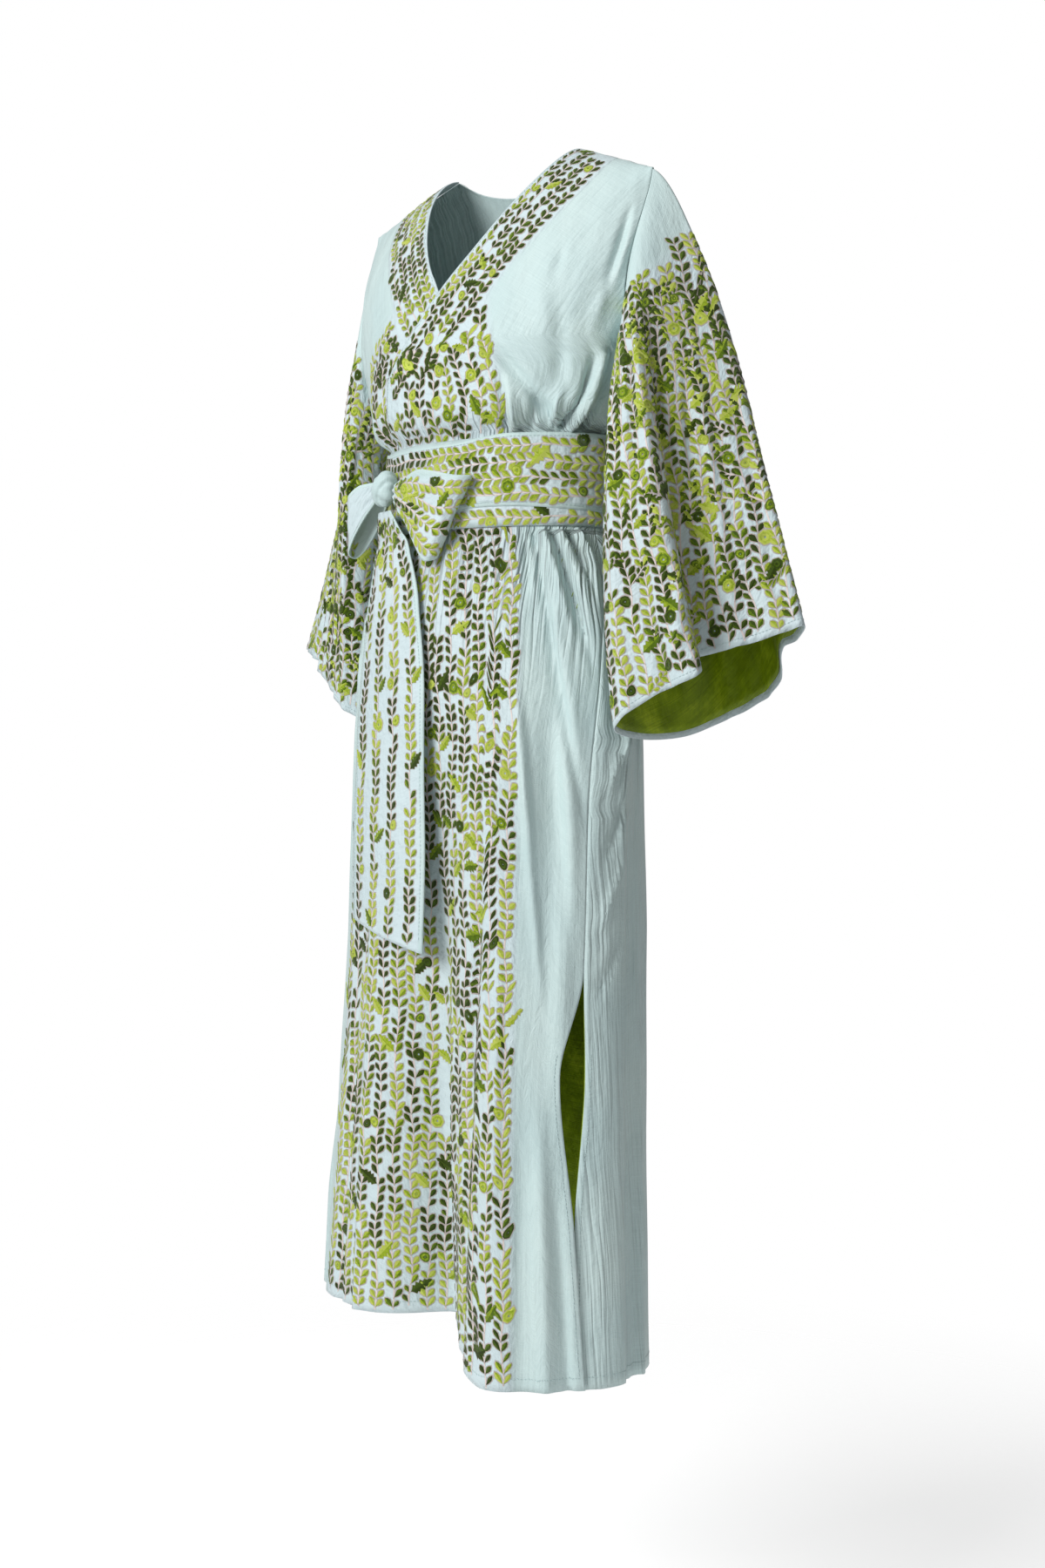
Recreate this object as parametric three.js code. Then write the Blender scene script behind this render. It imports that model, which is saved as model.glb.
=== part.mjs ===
// A long wrap kaftan with bell sleeves, side slits and a tied sash, hanging in its worn shape.
// Millimetres, +Z up. The front faces -Y and +X is the wearer's left.
// The origin is midway between the shoulder points, at the inside of the shoulder cloth.
import * as THREE from 'three';

// Walls and seams
const clothWall = 1.2;
const liningWall = 1.0;
const sashWall = 2.0;
const seamGap = 0.45;

// Shoulders, neck and armholes
const neckPoint = { x: 100, y: 19, z: 12 };
const shoulderPoint = { x: 224, y: 0, z: -37 };
const underarmZ = -238;
const underarmDrop = 250;
const shoulderSeamHalfGap = 0.8;
const armholeBow = 18;
const backNeckDrop = 26;
const neckCross = { drop: 177, x: -8, curve: 1.35 };
const overlapX = -80;
const wrap = { depth: 3.3, start: 13, full: 5 };
const waistSeamZ = -372;

// Skirt
const hemZ = -1337;
// The front hem rises between these angles, from this height down.
const hemLift = { height: 45, fromAngle: 34, fullAngle: 4, farFull: -70, farEnd: -140, fromZ: -620, curve: 1.4 };
const liningTopZ = -398;
const liningHemRise = 22;
const sleeveLining = { top: 0.11, bottom: 0.985, setIn: 0.4 };

// Sash
const sashTopZ = -321;
const sashBottomZ = -420;
const sashClear = 1.0;
const sashFolds = { count: 3, height: 2.2, drift: 0.06 };
const knot = { angle: -29, z: -367, halfWidth: 22, halfHeight: 23, halfDepth: 15, clear: 1.1 };
const tailEndZ = { inner: -858, tip: -887 };

const colours = {
  cloth: 0xbdd2d4,
  embroidered: 0xb5bf9c,
  lining: 0x6c9412,
};

// One row per level of the body, outer side of the cloth.
const bodySections = [
  { z: -238, centre: 0, halfWidth: 197, front: 124, back: 104 },
  { z: -280, centre: -3, halfWidth: 187, front: 122, back: 103 },
  { z: -303, centre: -5, halfWidth: 172, front: 115, back: 100 },
  { z: -318, centre: -5, halfWidth: 155, front: 105, back: 97 },
  { z: -421, centre: -5, halfWidth: 155, front: 105, back: 97 },
  { z: -450, centre: -7, halfWidth: 167, front: 109, back: 100 },
  { z: -530, centre: -14, halfWidth: 189, front: 117, back: 107 },
  { z: -650, centre: -20, halfWidth: 202, front: 122, back: 111 },
  { z: -900, centre: -26, halfWidth: 206, front: 126, back: 113 },
  { z: -1110, centre: -32, halfWidth: 211, front: 130, back: 116 },
  { z: -1337, centre: -38, halfWidth: 220, front: 134, back: 119 },
];

// One row per fold: its angle from the front centre at its top and its foot (positive to the wearer's
// left), its half-width in degrees, its height (negative folds go in), and where it starts, is full and ends.
const bodyFolds = [
  { angle: 6, foot: 5, width: 13.5, height: -80, top: -470, full: -1337, end: -1500 },
  { angle: 32, foot: 38, width: 12, height: 13, top: -560, full: -1337, end: -1500 },
  { angle: -40, foot: -44, width: 13, height: 6, top: -900, full: -1337, end: -1500 },
  { angle: 42, foot: 54, width: 4, height: -6, top: -430, full: -620, end: -1090 },
  { angle: 60, foot: 70, width: 4, height: 6, top: -426, full: -470, end: -640 },
  { angle: 68, foot: 76, width: 4, height: 5, top: -426, full: -480, end: -760 },
  { angle: -47, foot: -52, width: 4.5, height: -6, top: -428, full: -600, end: -1010 },
  { angle: -62, foot: -70, width: 4.5, height: 6, top: -426, full: -480, end: -700 },
  { angle: 104, foot: 101, width: 8, height: -9, top: -440, full: -900, end: -1500 },
  { angle: 128, foot: 124, width: 9, height: 8, top: -440, full: -860, end: -1500 },
  { angle: 152, foot: 150, width: 8, height: -10, top: -440, full: -980, end: -1500 },
  { angle: 176, foot: 178, width: 9, height: 7, top: -440, full: -800, end: -1500 },
  { angle: 200, foot: 204, width: 8, height: -9, top: -440, full: -940, end: -1500 },
  { angle: 226, foot: 232, width: 9, height: 8, top: -440, full: -880, end: -1500 },
  { angle: 250, foot: 257, width: 8, height: -8, top: -440, full: -1000, end: -1500 },
  { angle: 49, foot: 49, width: 4.5, height: -7, top: -244, full: -296, end: -318 },
  { angle: 66, foot: 66, width: 4, height: 6, top: -248, full: -296, end: -318 },
  { angle: -52, foot: -52, width: 4.5, height: -7, top: -244, full: -296, end: -318 },
  { angle: -68, foot: -68, width: 4, height: 6, top: -248, full: -296, end: -318 },
  { angle: 118, foot: 118, width: 6, height: 6, top: -240, full: -294, end: -318 },
  { angle: 146, foot: 146, width: 6, height: -6, top: -240, full: -294, end: -318 },
  { angle: 172, foot: 172, width: 6, height: 6, top: -240, full: -294, end: -318 },
  { angle: 198, foot: 198, width: 6, height: -6, top: -240, full: -294, end: -318 },
  { angle: 226, foot: 226, width: 6, height: 6, top: -240, full: -294, end: -318 },
];

// One row per level of a side seam: the angle of the front panel's edge and of the back panel's edge.
const sideEdges = {
  left: [
    { z: -238, front: 90, back: 90 },
    { z: -424, front: 84, back: 84 },
    { z: -560, front: 76, back: 76 },
    { z: -720, front: 69.5, back: 69.5 },
    { z: -898, front: 68, back: 68 },
    { z: -1010, front: 58.5, back: 69 },
    { z: -1166, front: 64.5, back: 65 },
    { z: -1337, front: 69, back: 64.5 },
  ],
  right: [
    { z: -238, front: 90, back: 90 },
    { z: -424, front: 85, back: 85 },
    { z: -560, front: 79, back: 79 },
    { z: -720, front: 74, back: 74 },
    { z: -880, front: 72, back: 72 },
    { z: -1020, front: 65, back: 73 },
    { z: -1190, front: 69.5, back: 70 },
    { z: -1337, front: 73, back: 69 },
  ],
};
const backTuck = { fromAngle: 77, toAngle: 71, fromZ: -1110, toZ: -1160, depth: 3.1 };

// One row per turn of a sleeve's hem: its share of the way round, from the underarm over the front.
const sleeveMouths = {
  left: [
    { share: 0.03, x: 240, y: -80, z: -640 },
    { share: 0.11, x: 294, y: -76, z: -606 },
    { share: 0.19, x: 341, y: -66, z: -587 },
    { share: 0.235, x: 330, y: -46, z: -578 },
    { share: 0.28, x: 298, y: -33, z: -571 },
    { share: 0.34, x: 322, y: -14, z: -562 },
    { share: 0.42, x: 362, y: 4, z: -551 },
    { share: 0.5, x: 404, y: 28, z: -535 },
    { share: 0.555, x: 378, y: 52, z: -548 },
    { share: 0.61, x: 352, y: 60, z: -560 },
    { share: 0.67, x: 333, y: 82, z: -590 },
    { share: 0.76, x: 292, y: 86, z: -617 },
    { share: 0.84, x: 248, y: 78, z: -636 },
    { share: 0.91, x: 226, y: 44, z: -650 },
    { share: 0.965, x: 224, y: -20, z: -652 },
  ],
  right: [
    { share: 0.03, x: 228, y: -34, z: -626 },
    { share: 0.11, x: 262, y: -40, z: -604 },
    { share: 0.19, x: 294, y: -24, z: -584 },
    { share: 0.26, x: 310, y: -22, z: -572 },
    { share: 0.34, x: 334, y: -2, z: -558 },
    { share: 0.42, x: 366, y: 8, z: -546 },
    { share: 0.5, x: 398, y: 28, z: -537 },
    { share: 0.57, x: 374, y: 58, z: -548 },
    { share: 0.66, x: 332, y: 72, z: -570 },
    { share: 0.74, x: 300, y: 90, z: -590 },
    { share: 0.83, x: 254, y: 82, z: -612 },
    { share: 0.91, x: 230, y: 50, z: -626 },
    { share: 0.97, x: 222, y: 0, z: -630 },
  ],
};
// One row per place round the armhole: how the sleeve cloth sets off from the seam, and how far it
// stands out half-way down.
const sleeveStarts = {
  left: [
    { share: 0.0, x: 46, y: -60, z: -150, outX: -6, outY: -16 },
    { share: 0.08, x: 66, y: -64, z: -140, outX: -8, outY: -26 },
    { share: 0.25, x: 120, y: -44, z: -80, outX: 0, outY: -8 },
    { share: 0.5, x: 110, y: 24, z: -70, outX: 2, outY: 12 },
    { share: 0.62, x: 122, y: 54, z: -70, outX: 4, outY: 12 },
    { share: 0.75, x: 122, y: 52, z: -90, outX: 2, outY: 6 },
    { share: 0.88, x: 70, y: 40, z: -130, outX: 0, outY: 0 },
  ],
  right: [
    { share: 0.0, x: 40, y: -40, z: -150, outX: 0, outY: -8 },
    { share: 0.12, x: 60, y: -50, z: -140, outX: -6, outY: -14 },
    { share: 0.25, x: 84, y: -30, z: -110, outX: -8, outY: 0 },
    { share: 0.5, x: 70, y: 20, z: -110, outX: -6, outY: 14 },
    { share: 0.75, x: 110, y: 50, z: -90, outX: 4, outY: 10 },
    { share: 0.88, x: 66, y: 40, z: -130, outX: 0, outY: 0 },
  ],
};

const degrees = Math.PI / 180;
const underarm = bodySections[0];
const hemDrop = underarmDrop + (underarmZ - hemZ);

function mix(start, end, share) {
  return start + (end - start) * share;
}

function ease(from, to, value) {
  const share = THREE.MathUtils.clamp((value - from) / (to - from), 0, 1);
  return share * share * (3 - 2 * share);
}

// A smooth curve through a table's rows that never overshoots them.
function readTable(rows, position, column, value) {
  const way = Math.sign(rows[1][position] - rows[0][position]);
  const last = rows.length - 1;
  const place = value * way;
  const clamped = Math.min(Math.max(place, rows[0][position] * way), rows[last][position] * way);
  let row = 0;
  while (row < last - 1 && clamped > rows[row + 1][position] * way) row += 1;
  const span = (index) => (rows[index + 1][position] - rows[index][position]) * way;
  const slope = (index) => (rows[index + 1][column] - rows[index][column]) / span(index);
  const tangent = (index) => {
    if (index === 0) return slope(0);
    if (index === last) return slope(last - 1);
    const before = slope(index - 1);
    const after = slope(index);
    return before * after <= 0 ? 0 : (2 * before * after) / (before + after);
  };
  const share = (clamped - rows[row][position] * way) / span(row);
  const square = share * share;
  const cube = square * share;
  return (2 * cube - 3 * square + 1) * rows[row][column]
    + (cube - 2 * square + share) * span(row) * tangent(row)
    + (3 * square - 2 * cube) * rows[row + 1][column]
    + (cube - square) * span(row) * tangent(row + 1);
}

// Straight lines through a table's rows.
function readStraight(rows, position, column, value) {
  const last = rows.length - 1;
  let row = 0;
  while (row < last - 1 && value < rows[row + 1][position]) row += 1;
  const share = (value - rows[row][position]) / (rows[row + 1][position] - rows[row][position]);
  return mix(rows[row][column], rows[row + 1][column], THREE.MathUtils.clamp(share, 0, 1));
}

// A smooth closed curve through rows placed by their share of one turn.
function readLoop(rows, column, share) {
  const count = rows.length;
  const rowAt = (index) => rows[((index % count) + count) % count];
  const shareAt = (index) => rowAt(index).share + Math.floor(index / count);
  let place = share - Math.floor(share);
  if (place < rows[0].share) place += 1;
  let row = 0;
  while (row < count - 1 && place > rows[row + 1].share) row += 1;
  const span = shareAt(row + 1) - shareAt(row);
  const tangent = (index) => (rowAt(index + 1)[column] - rowAt(index - 1)[column])
    / (shareAt(index + 1) - shareAt(index - 1));
  const step = (place - shareAt(row)) / span;
  const square = step * step;
  const cube = square * step;
  return (2 * cube - 3 * square + 1) * rowAt(row)[column]
    + (cube - 2 * square + step) * span * tangent(row)
    + (3 * square - 2 * cube) * rowAt(row + 1)[column]
    + (cube - square) * span * tangent(row + 1);
}

// ---- The body's surface, by drop from the shoulder and angle from the front centre ----

function shoulderShare(x) {
  return Math.max(0, (Math.abs(x) - neckPoint.x) / (shoulderPoint.x - neckPoint.x));
}

function armholeAngle(drop) {
  const share = Math.min(1, drop / underarmDrop);
  return 90 - armholeBow * Math.pow(Math.sin(Math.PI * share), 0.8);
}

function armholeWidth(drop) {
  const share = Math.min(1, drop / underarmDrop);
  return mix(shoulderPoint.x, underarm.halfWidth, share * share);
}

function yokePoint(drop, angle) {
  const share = drop / underarmDrop;
  const atFront = Math.cos(angle * degrees) >= 0;
  const across = armholeWidth(drop) / Math.sin(armholeAngle(drop) * degrees);
  const x = across * Math.sin(angle * degrees);
  const ridge = shoulderShare(x);
  const ridgeY = mix(neckPoint.y, shoulderPoint.y, ridge);
  const depth = atFront ? underarm.front : underarm.back;
  const chestY = -depth * Math.cos(angle * degrees);
  const fall = atFront
    ? Math.pow(1 - Math.pow(1 - share, 1.6), 0.62)
    : Math.sqrt(1 - Math.pow(1 - share, 2));
  const part = atFront ? -shoulderSeamHalfGap : shoulderSeamHalfGap;
  const y = mix(ridgeY + part * (1 - share), chestY, fall);
  const z = mix(mix(neckPoint.z, shoulderPoint.z, ridge), underarmZ, share);
  return new THREE.Vector3(x, y, z);
}

function foldHeight(z, angle) {
  let height = 0;
  for (const fold of bodyFolds) {
    const way = THREE.MathUtils.clamp((fold.top - z) / (fold.top - fold.full), 0, 1);
    const centre = mix(fold.angle, fold.foot, ease(0, 1, way));
    const away = ((angle - centre + 540) % 360) - 180;
    const rise = Math.pow(way, 1.3) * (1 - ease(-fold.full, -fold.end, -z) * (fold.end > hemZ ? 1 : 0));
    height += fold.height * rise * Math.exp(-Math.pow(away / fold.width, 2));
  }
  return height;
}

function hemRise(z, angle) {
  const turned = ((angle + 540) % 360) - 180;
  const raised = ease(hemLift.fromAngle, hemLift.fullAngle, turned) * ease(hemLift.farEnd, hemLift.farFull, turned);
  return hemLift.height * raised * Math.pow(ease(hemLift.fromZ, hemZ, z), hemLift.curve);
}

function sectionPoint(z, angle, folded) {
  const halfWidth = readTable(bodySections, 'z', 'halfWidth', z);
  const atFront = Math.cos(angle * degrees) >= 0;
  const depth = readTable(bodySections, 'z', atFront ? 'front' : 'back', z);
  const centre = readTable(bodySections, 'z', 'centre', z);
  const side = Math.sin(angle * degrees);
  const ahead = Math.cos(angle * degrees);
  const facing = new THREE.Vector2(side / halfWidth, -ahead / depth).normalize();
  const height = folded ? foldHeight(z, angle) : 0;
  const lift = folded ? hemRise(z, angle) : 0;
  return new THREE.Vector3(
    halfWidth * side + facing.x * height,
    centre - depth * ahead + facing.y * height,
    z + lift,
  );
}

function bodyPoint(drop, angle, folded = true) {
  if (drop < underarmDrop) return yokePoint(Math.max(0, drop), angle);
  return sectionPoint(underarmZ - (drop - underarmDrop), angle, folded);
}

// A point of the body's surface, moved out along the surface's normal.
function clothPoint(drop, angle, out, folded = true) {
  const point = bodyPoint(drop, angle, folded);
  const down = bodyPoint(drop + 1.5, angle, folded).sub(bodyPoint(drop - 1.5, angle, folded));
  const across = bodyPoint(drop, angle + 0.5, folded).sub(bodyPoint(drop, angle - 0.5, folded));
  const normal = down.cross(across);
  if (drop === 0) normal.y = 0;
  return point.addScaledVector(normal.normalize(), out);
}

function dropAt(z) {
  return underarmDrop + (underarmZ - z);
}

function heightAt(drop) {
  return underarmZ - (drop - underarmDrop);
}

function angleOfX(drop, x) {
  const across = drop < underarmDrop
    ? armholeWidth(drop) / Math.sin(armholeAngle(drop) * degrees)
    : readTable(bodySections, 'z', 'halfWidth', heightAt(drop));
  return Math.asin(THREE.MathUtils.clamp(x / across, -1, 1)) / degrees;
}

// The wrap's free edge of the left front: neckline, crossing point, then straight down the skirt.
function wrapEdge(drop) {
  const reach = (neckPoint.x - neckCross.x) * Math.pow(drop / neckCross.drop, neckCross.curve);
  return angleOfX(drop, Math.max(overlapX, neckPoint.x - reach));
}

function sideAngle(side, panel, drop) {
  if (drop < underarmDrop) return panel === 'front' ? armholeAngle(drop) : 180 - armholeAngle(drop);
  const angle = readStraight(sideEdges[side], 'z', panel, heightAt(drop));
  const perDegree = bodyPoint(drop, angle + 0.5).distanceTo(bodyPoint(drop, angle - 0.5));
  const gap = seamGap / 2 / perDegree;
  return panel === 'front' ? angle - gap : angle + gap;
}

// ---- Closed shells ----

// A sheet with an outer and an inner side, stitched along its edges. A wrapping sheet has no side edges.
function shell(rows, columns, wraps, pointAt, mirrored = false) {
  const positions = [];
  const faces = [];
  const steps = wraps ? columns : columns + 1;
  for (const side of [0, 1]) {
    for (let row = 0; row <= rows; row += 1) {
      for (let column = 0; column < steps; column += 1) {
        const point = pointAt(row / rows, column / columns, side);
        positions.push(point.x, point.y, point.z);
      }
    }
  }
  const vertex = (side, row, column) => (side * (rows + 1) + row) * steps + (column % steps);
  const quad = (a, b, c, d) => {
    if (mirrored) faces.push(b, c, d, b, d, a);
    else faces.push(a, b, c, a, c, d);
  };
  for (let row = 0; row < rows; row += 1) {
    for (let column = 0; column < columns; column += 1) {
      quad(vertex(0, row, column), vertex(0, row + 1, column),
        vertex(0, row + 1, column + 1), vertex(0, row, column + 1));
      quad(vertex(1, row, column), vertex(1, row, column + 1),
        vertex(1, row + 1, column + 1), vertex(1, row + 1, column));
    }
  }
  for (let column = 0; column < columns; column += 1) {
    quad(vertex(0, 0, column), vertex(0, 0, column + 1), vertex(1, 0, column + 1), vertex(1, 0, column));
    quad(vertex(0, rows, column + 1), vertex(0, rows, column),
      vertex(1, rows, column), vertex(1, rows, column + 1));
  }
  if (!wraps) {
    for (let row = 0; row < rows; row += 1) {
      quad(vertex(0, row + 1, 0), vertex(0, row, 0), vertex(1, row, 0), vertex(1, row + 1, 0));
      quad(vertex(0, row, columns), vertex(0, row + 1, columns),
        vertex(1, row + 1, columns), vertex(1, row, columns));
    }
  }
  return bodyFrom(positions, faces);
}

// Builds the geometry and turns its faces out if the pieces were laid mirrored.
function bodyFrom(positions, faces) {
  const at = (index) => new THREE.Vector3().fromArray(positions, index * 3);
  let volume = 0;
  for (let face = 0; face < faces.length; face += 3) {
    volume += at(faces[face]).dot(at(faces[face + 1]).cross(at(faces[face + 2])));
  }
  if (volume < 0) faces.reverse();
  const geometry = new THREE.BufferGeometry();
  geometry.setAttribute('position', new THREE.Float32BufferAttribute(positions, 3));
  geometry.setIndex(faces);
  geometry.computeVertexNormals();
  return geometry;
}

const kaftan = new THREE.Group();

function addPiece(name, geometry, color, roughness = 0.6) {
  const material = new THREE.MeshStandardMaterial({ color, roughness, metalness: 0 });
  const mesh = new THREE.Mesh(geometry, material);
  mesh.name = name;
  kaftan.add(mesh);
}

// ---- Rows of a panel: close together over the shoulder, then in steps down to the hem ----

const yokeRows = [0, 0.015, 0.06, 0.14, 0.26, 0.42, 0.6, 0.76, 0.9];
const bodiceRows = [underarmZ, -266, -290, -306, -319];
const skirtRows = [sashBottomZ, -444, -480, -525, -580, -650, -740, -830, -898, -960, -1030, -1110, -1200, hemZ];
const panelDrops = [
  ...yokeRows.map((share) => share * underarmDrop),
  ...bodiceRows.map(dropAt),
  ...skirtRows.map(dropAt),
];

// How far the right front lies in where the left front laps over it.
function underlap(drop, angle) {
  const edge = wrapEdge(drop);
  return -wrap.depth * ease(edge - wrap.start, edge - wrap.full, angle);
}

// How far the back panel's slit edge lies in where the front panel laps over it.
function backSet(drop, angle) {
  const turned = ((angle + 540) % 360) - 180;
  const near = ease(backTuck.fromAngle, backTuck.toAngle, Math.abs(turned));
  return -backTuck.depth * near * ease(backTuck.fromZ, backTuck.toZ, heightAt(drop));
}

// Columns of a front: first across the lap, at the same angles on both fronts, then on to the side.
const lapColumns = 8;
const frontColumns = 17;
const lapLeast = 0.3;

function frontAngle(side, drop, across) {
  const inner = wrapEdge(drop);
  const outer = sideAngle(side, 'front', drop);
  const middle = Math.max(-inner, mix(inner, outer, lapLeast));
  const lap = lapColumns / frontColumns;
  if (across < lap) return mix(inner, middle, across / lap);
  return mix(middle, outer, (across - lap) / (1 - lap));
}

// A row that is cut between two rows of a grid lies on the straight lines between them.
function cutRow(gridRows, value, pointAt) {
  const next = Math.max(1, gridRows.findIndex((row) => row >= value - 1e-9));
  const start = gridRows[next - 1];
  const share = (value - start) / (gridRows[next] - start);
  if (share < 1e-9) return pointAt(start);
  if (share > 1 - 1e-9) return pointAt(gridRows[next]);
  return pointAt(start).lerp(pointAt(gridRows[next]), share);
}

function frontPanel(side, drops, outer, wall) {
  const sign = side === 'left' ? 1 : -1;
  const rows = drops.length - 1;
  return shell(rows, frontColumns, false, (down, across, inside) => {
    const place = (drop) => {
      const angle = sign * frontAngle(side, drop, across);
      const under = side === 'right' ? underlap(drop, angle) : 0;
      return clothPoint(drop, angle, under + outer - inside * wall);
    };
    return cutRow(panelDrops, drops[Math.round(down * rows)], place);
  }, side === 'right');
}

const neckShare = 0.36;
const backColumns = 18;
const backSideColumns = 6;

function backAngle(drop, across) {
  const from = sideAngle('left', 'back', drop);
  const to = 360 - sideAngle('right', 'back', drop);
  const side = backSideColumns / backColumns;
  let share = mix(neckShare, 1 - neckShare, (across - side) / (1 - 2 * side));
  if (across < side) share = (across / side) * neckShare;
  if (across > 1 - side) share = 1 - ((1 - across) / side) * neckShare;
  return mix(from, to, share);
}

function backPanel(drops, outer, wall) {
  const rows = drops.length - 1;
  return shell(rows, backColumns, false, (down, across, inside) => {
    const place = (drop) => {
      const angle = backAngle(drop, across);
      const x = yokePoint(0, angle).x;
      const reach = Math.sqrt(Math.max(0, 1 - Math.pow(x / neckPoint.x, 2)));
      const scoop = backNeckDrop * reach * Math.max(0, 1 - drop / underarmDrop);
      return clothPoint(drop + scoop, angle, backSet(drop, angle) + outer - inside * wall);
    };
    return cutRow(panelDrops, drops[Math.round(down * rows)], place);
  });
}

// A seam under the sash parts each panel into its bodice and its skirt.
const waistDrop = dropAt(waistSeamZ);
const seamedDrops = {
  bodice: [...panelDrops.filter((drop) => drop < waistDrop), waistDrop - seamGap / 2],
  skirt: [waistDrop + seamGap / 2, ...panelDrops.filter((drop) => drop > waistDrop)],
};
for (const [part, drops] of Object.entries(seamedDrops)) {
  addPiece(`${part}_front_left`, frontPanel('left', drops, 0, clothWall), colours.embroidered);
  addPiece(`${part}_front_right`, frontPanel('right', drops, 0, clothWall), colours.embroidered);
  addPiece(`${part}_back`, backPanel(drops, 0, clothWall), colours.cloth);
}

const liningDrops = [liningTopZ, ...skirtRows.slice(0, -1), hemZ + liningHemRise].map(dropAt);
const liningOut = -clothWall - seamGap;
for (const side of ['left', 'right']) {
  const lining = frontPanel(side, liningDrops, liningOut, liningWall);
  addPiece(`skirt_lining_${side}`, lining, colours.lining, 0.5);
}
addPiece('skirt_lining_back', backPanel(liningDrops, liningOut, liningWall), colours.lining, 0.5);

// ---- Sleeves: rails from the armhole to the hem ----

function armholePoint(share) {
  const atFront = share <= 0.5;
  const drop = underarmDrop * Math.abs(1 - 2 * share);
  const angle = atFront ? armholeAngle(drop) : 180 - armholeAngle(drop);
  return yokePoint(drop, angle);
}

function sleeveRail(side, along, share) {
  const turn = share - Math.floor(share);
  const start = armholePoint(turn);
  start.x += seamGap * 3;
  start.z -= seamGap;
  const end = new THREE.Vector3(
    readLoop(sleeveMouths[side], 'x', turn),
    readLoop(sleeveMouths[side], 'y', turn),
    readLoop(sleeveMouths[side], 'z', turn),
  );
  const setOff = new THREE.Vector3(
    readLoop(sleeveStarts[side], 'x', turn),
    readLoop(sleeveStarts[side], 'y', turn),
    readLoop(sleeveStarts[side], 'z', turn),
  );
  const arrive = end.clone().sub(start);
  const standing = 4 * along * (1 - along);
  const outX = readLoop(sleeveStarts[side], 'outX', turn) * standing;
  const outY = readLoop(sleeveStarts[side], 'outY', turn) * standing;
  const square = along * along;
  const cube = square * along;
  return start.multiplyScalar(2 * cube - 3 * square + 1)
    .addScaledVector(setOff, cube - 2 * square + along)
    .addScaledVector(end, 3 * square - 2 * cube)
    .addScaledVector(arrive, cube - square)
    .add(new THREE.Vector3(outX, outY, 0));
}

function sleevePoint(side, along, share, out) {
  const point = sleeveRail(side, along, share);
  const outward = sleeveRail(side, Math.min(1, along + 0.01), share)
    .sub(sleeveRail(side, Math.max(0, along - 0.01), share));
  const around = sleeveRail(side, along, share + 0.004).sub(sleeveRail(side, along, share - 0.004));
  return point.addScaledVector(outward.cross(around).normalize(), out);
}

const sleeveRows = [0, 0.04, 0.11, 0.2, 0.32, 0.45, 0.59, 0.73, 0.87, 1];
const sleeveColumns = 26;

function sleeve(side, top, bottom, outer, wall) {
  const rows = sleeveRows.length - 1;
  return shell(rows, sleeveColumns, true, (down, across, inside) => {
    const along = THREE.MathUtils.clamp(sleeveRows[Math.round(down * rows)], top, bottom);
    const point = cutRow(sleeveRows, along, (row) => sleevePoint(side, row, across, outer - inside * wall));
    if (side === 'right') point.x *= -1;
    return point;
  });
}

for (const side of ['left', 'right']) {
  addPiece(`sleeve_${side}`, sleeve(side, 0, 1, 0, clothWall), colours.embroidered);
  const { top, bottom, setIn } = sleeveLining;
  const lining = sleeve(side, top, bottom, liningOut - setIn, liningWall);
  addPiece(`sleeve_lining_${side}`, lining, colours.lining, 0.5);
}

// ---- Sash: a band round the waist, its knot, two loops and one long tail ----

function sashBulge(share, angle) {
  const drift = sashFolds.drift * Math.sin(angle * degrees * 2 + 0.6);
  const fold = Math.abs(Math.sin(Math.PI * (share * sashFolds.count + drift)));
  return sashFolds.height * fold * Math.sin(Math.PI * share);
}

addPiece('sash', shell(6, 46, true, (down, across, inside) => {
  const angle = across * 360;
  const z = mix(sashTopZ, sashBottomZ, down);
  const out = inside ? sashClear : sashClear + sashWall + sashBulge(down, angle);
  return clothPoint(dropAt(z), angle, out, false);
}), colours.embroidered);

// A frame on the sash's outer side: a point, the way out and the way along, at an angle.
function sashFrame(angle, z, out) {
  return clothPoint(dropAt(z), angle, out, false);
}

function knotGeometry() {
  const rows = 9;
  const columns = 14;
  const out = sashClear + sashWall + knot.clear + knot.halfDepth;
  const centre = sashFrame(knot.angle, knot.z, out);
  const outward = sashFrame(knot.angle, knot.z, out + 1).sub(centre);
  const up = new THREE.Vector3(0, 0, 1);
  const along = up.clone().cross(outward).normalize().negate();
  const positions = [];
  const faces = [];
  const place = (a, b, c) => {
    const point = centre.clone().addScaledVector(along, a * knot.halfWidth)
      .addScaledVector(up, b * knot.halfHeight).addScaledVector(outward, c * knot.halfDepth);
    positions.push(point.x, point.y, point.z);
  };
  place(0, 1, 0);
  for (let row = 1; row < rows; row += 1) {
    const tilt = (Math.PI * row) / rows;
    for (let column = 0; column < columns; column += 1) {
      const turn = (2 * Math.PI * column) / columns;
      const pinch = 1 - 0.1 * Math.cos(2 * (tilt + turn * 0.5));
      place(Math.sin(tilt) * Math.cos(turn) * pinch, Math.cos(tilt), Math.sin(tilt) * Math.sin(turn) * 0.95);
    }
  }
  place(0, -1, 0);
  const vertex = (row, column) => 1 + (row - 1) * columns + (column % columns);
  const foot = 1 + (rows - 1) * columns;
  for (let column = 0; column < columns; column += 1) {
    faces.push(0, vertex(1, column + 1), vertex(1, column));
    faces.push(foot, vertex(rows - 1, column), vertex(rows - 1, column + 1));
    for (let row = 1; row < rows - 1; row += 1) {
      faces.push(vertex(row, column), vertex(row, column + 1), vertex(row + 1, column));
      faces.push(vertex(row, column + 1), vertex(row + 1, column + 1), vertex(row + 1, column));
    }
  }
  return bodyFrom(positions, faces);
}

addPiece('sash_knot', knotGeometry(), colours.cloth);

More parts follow.
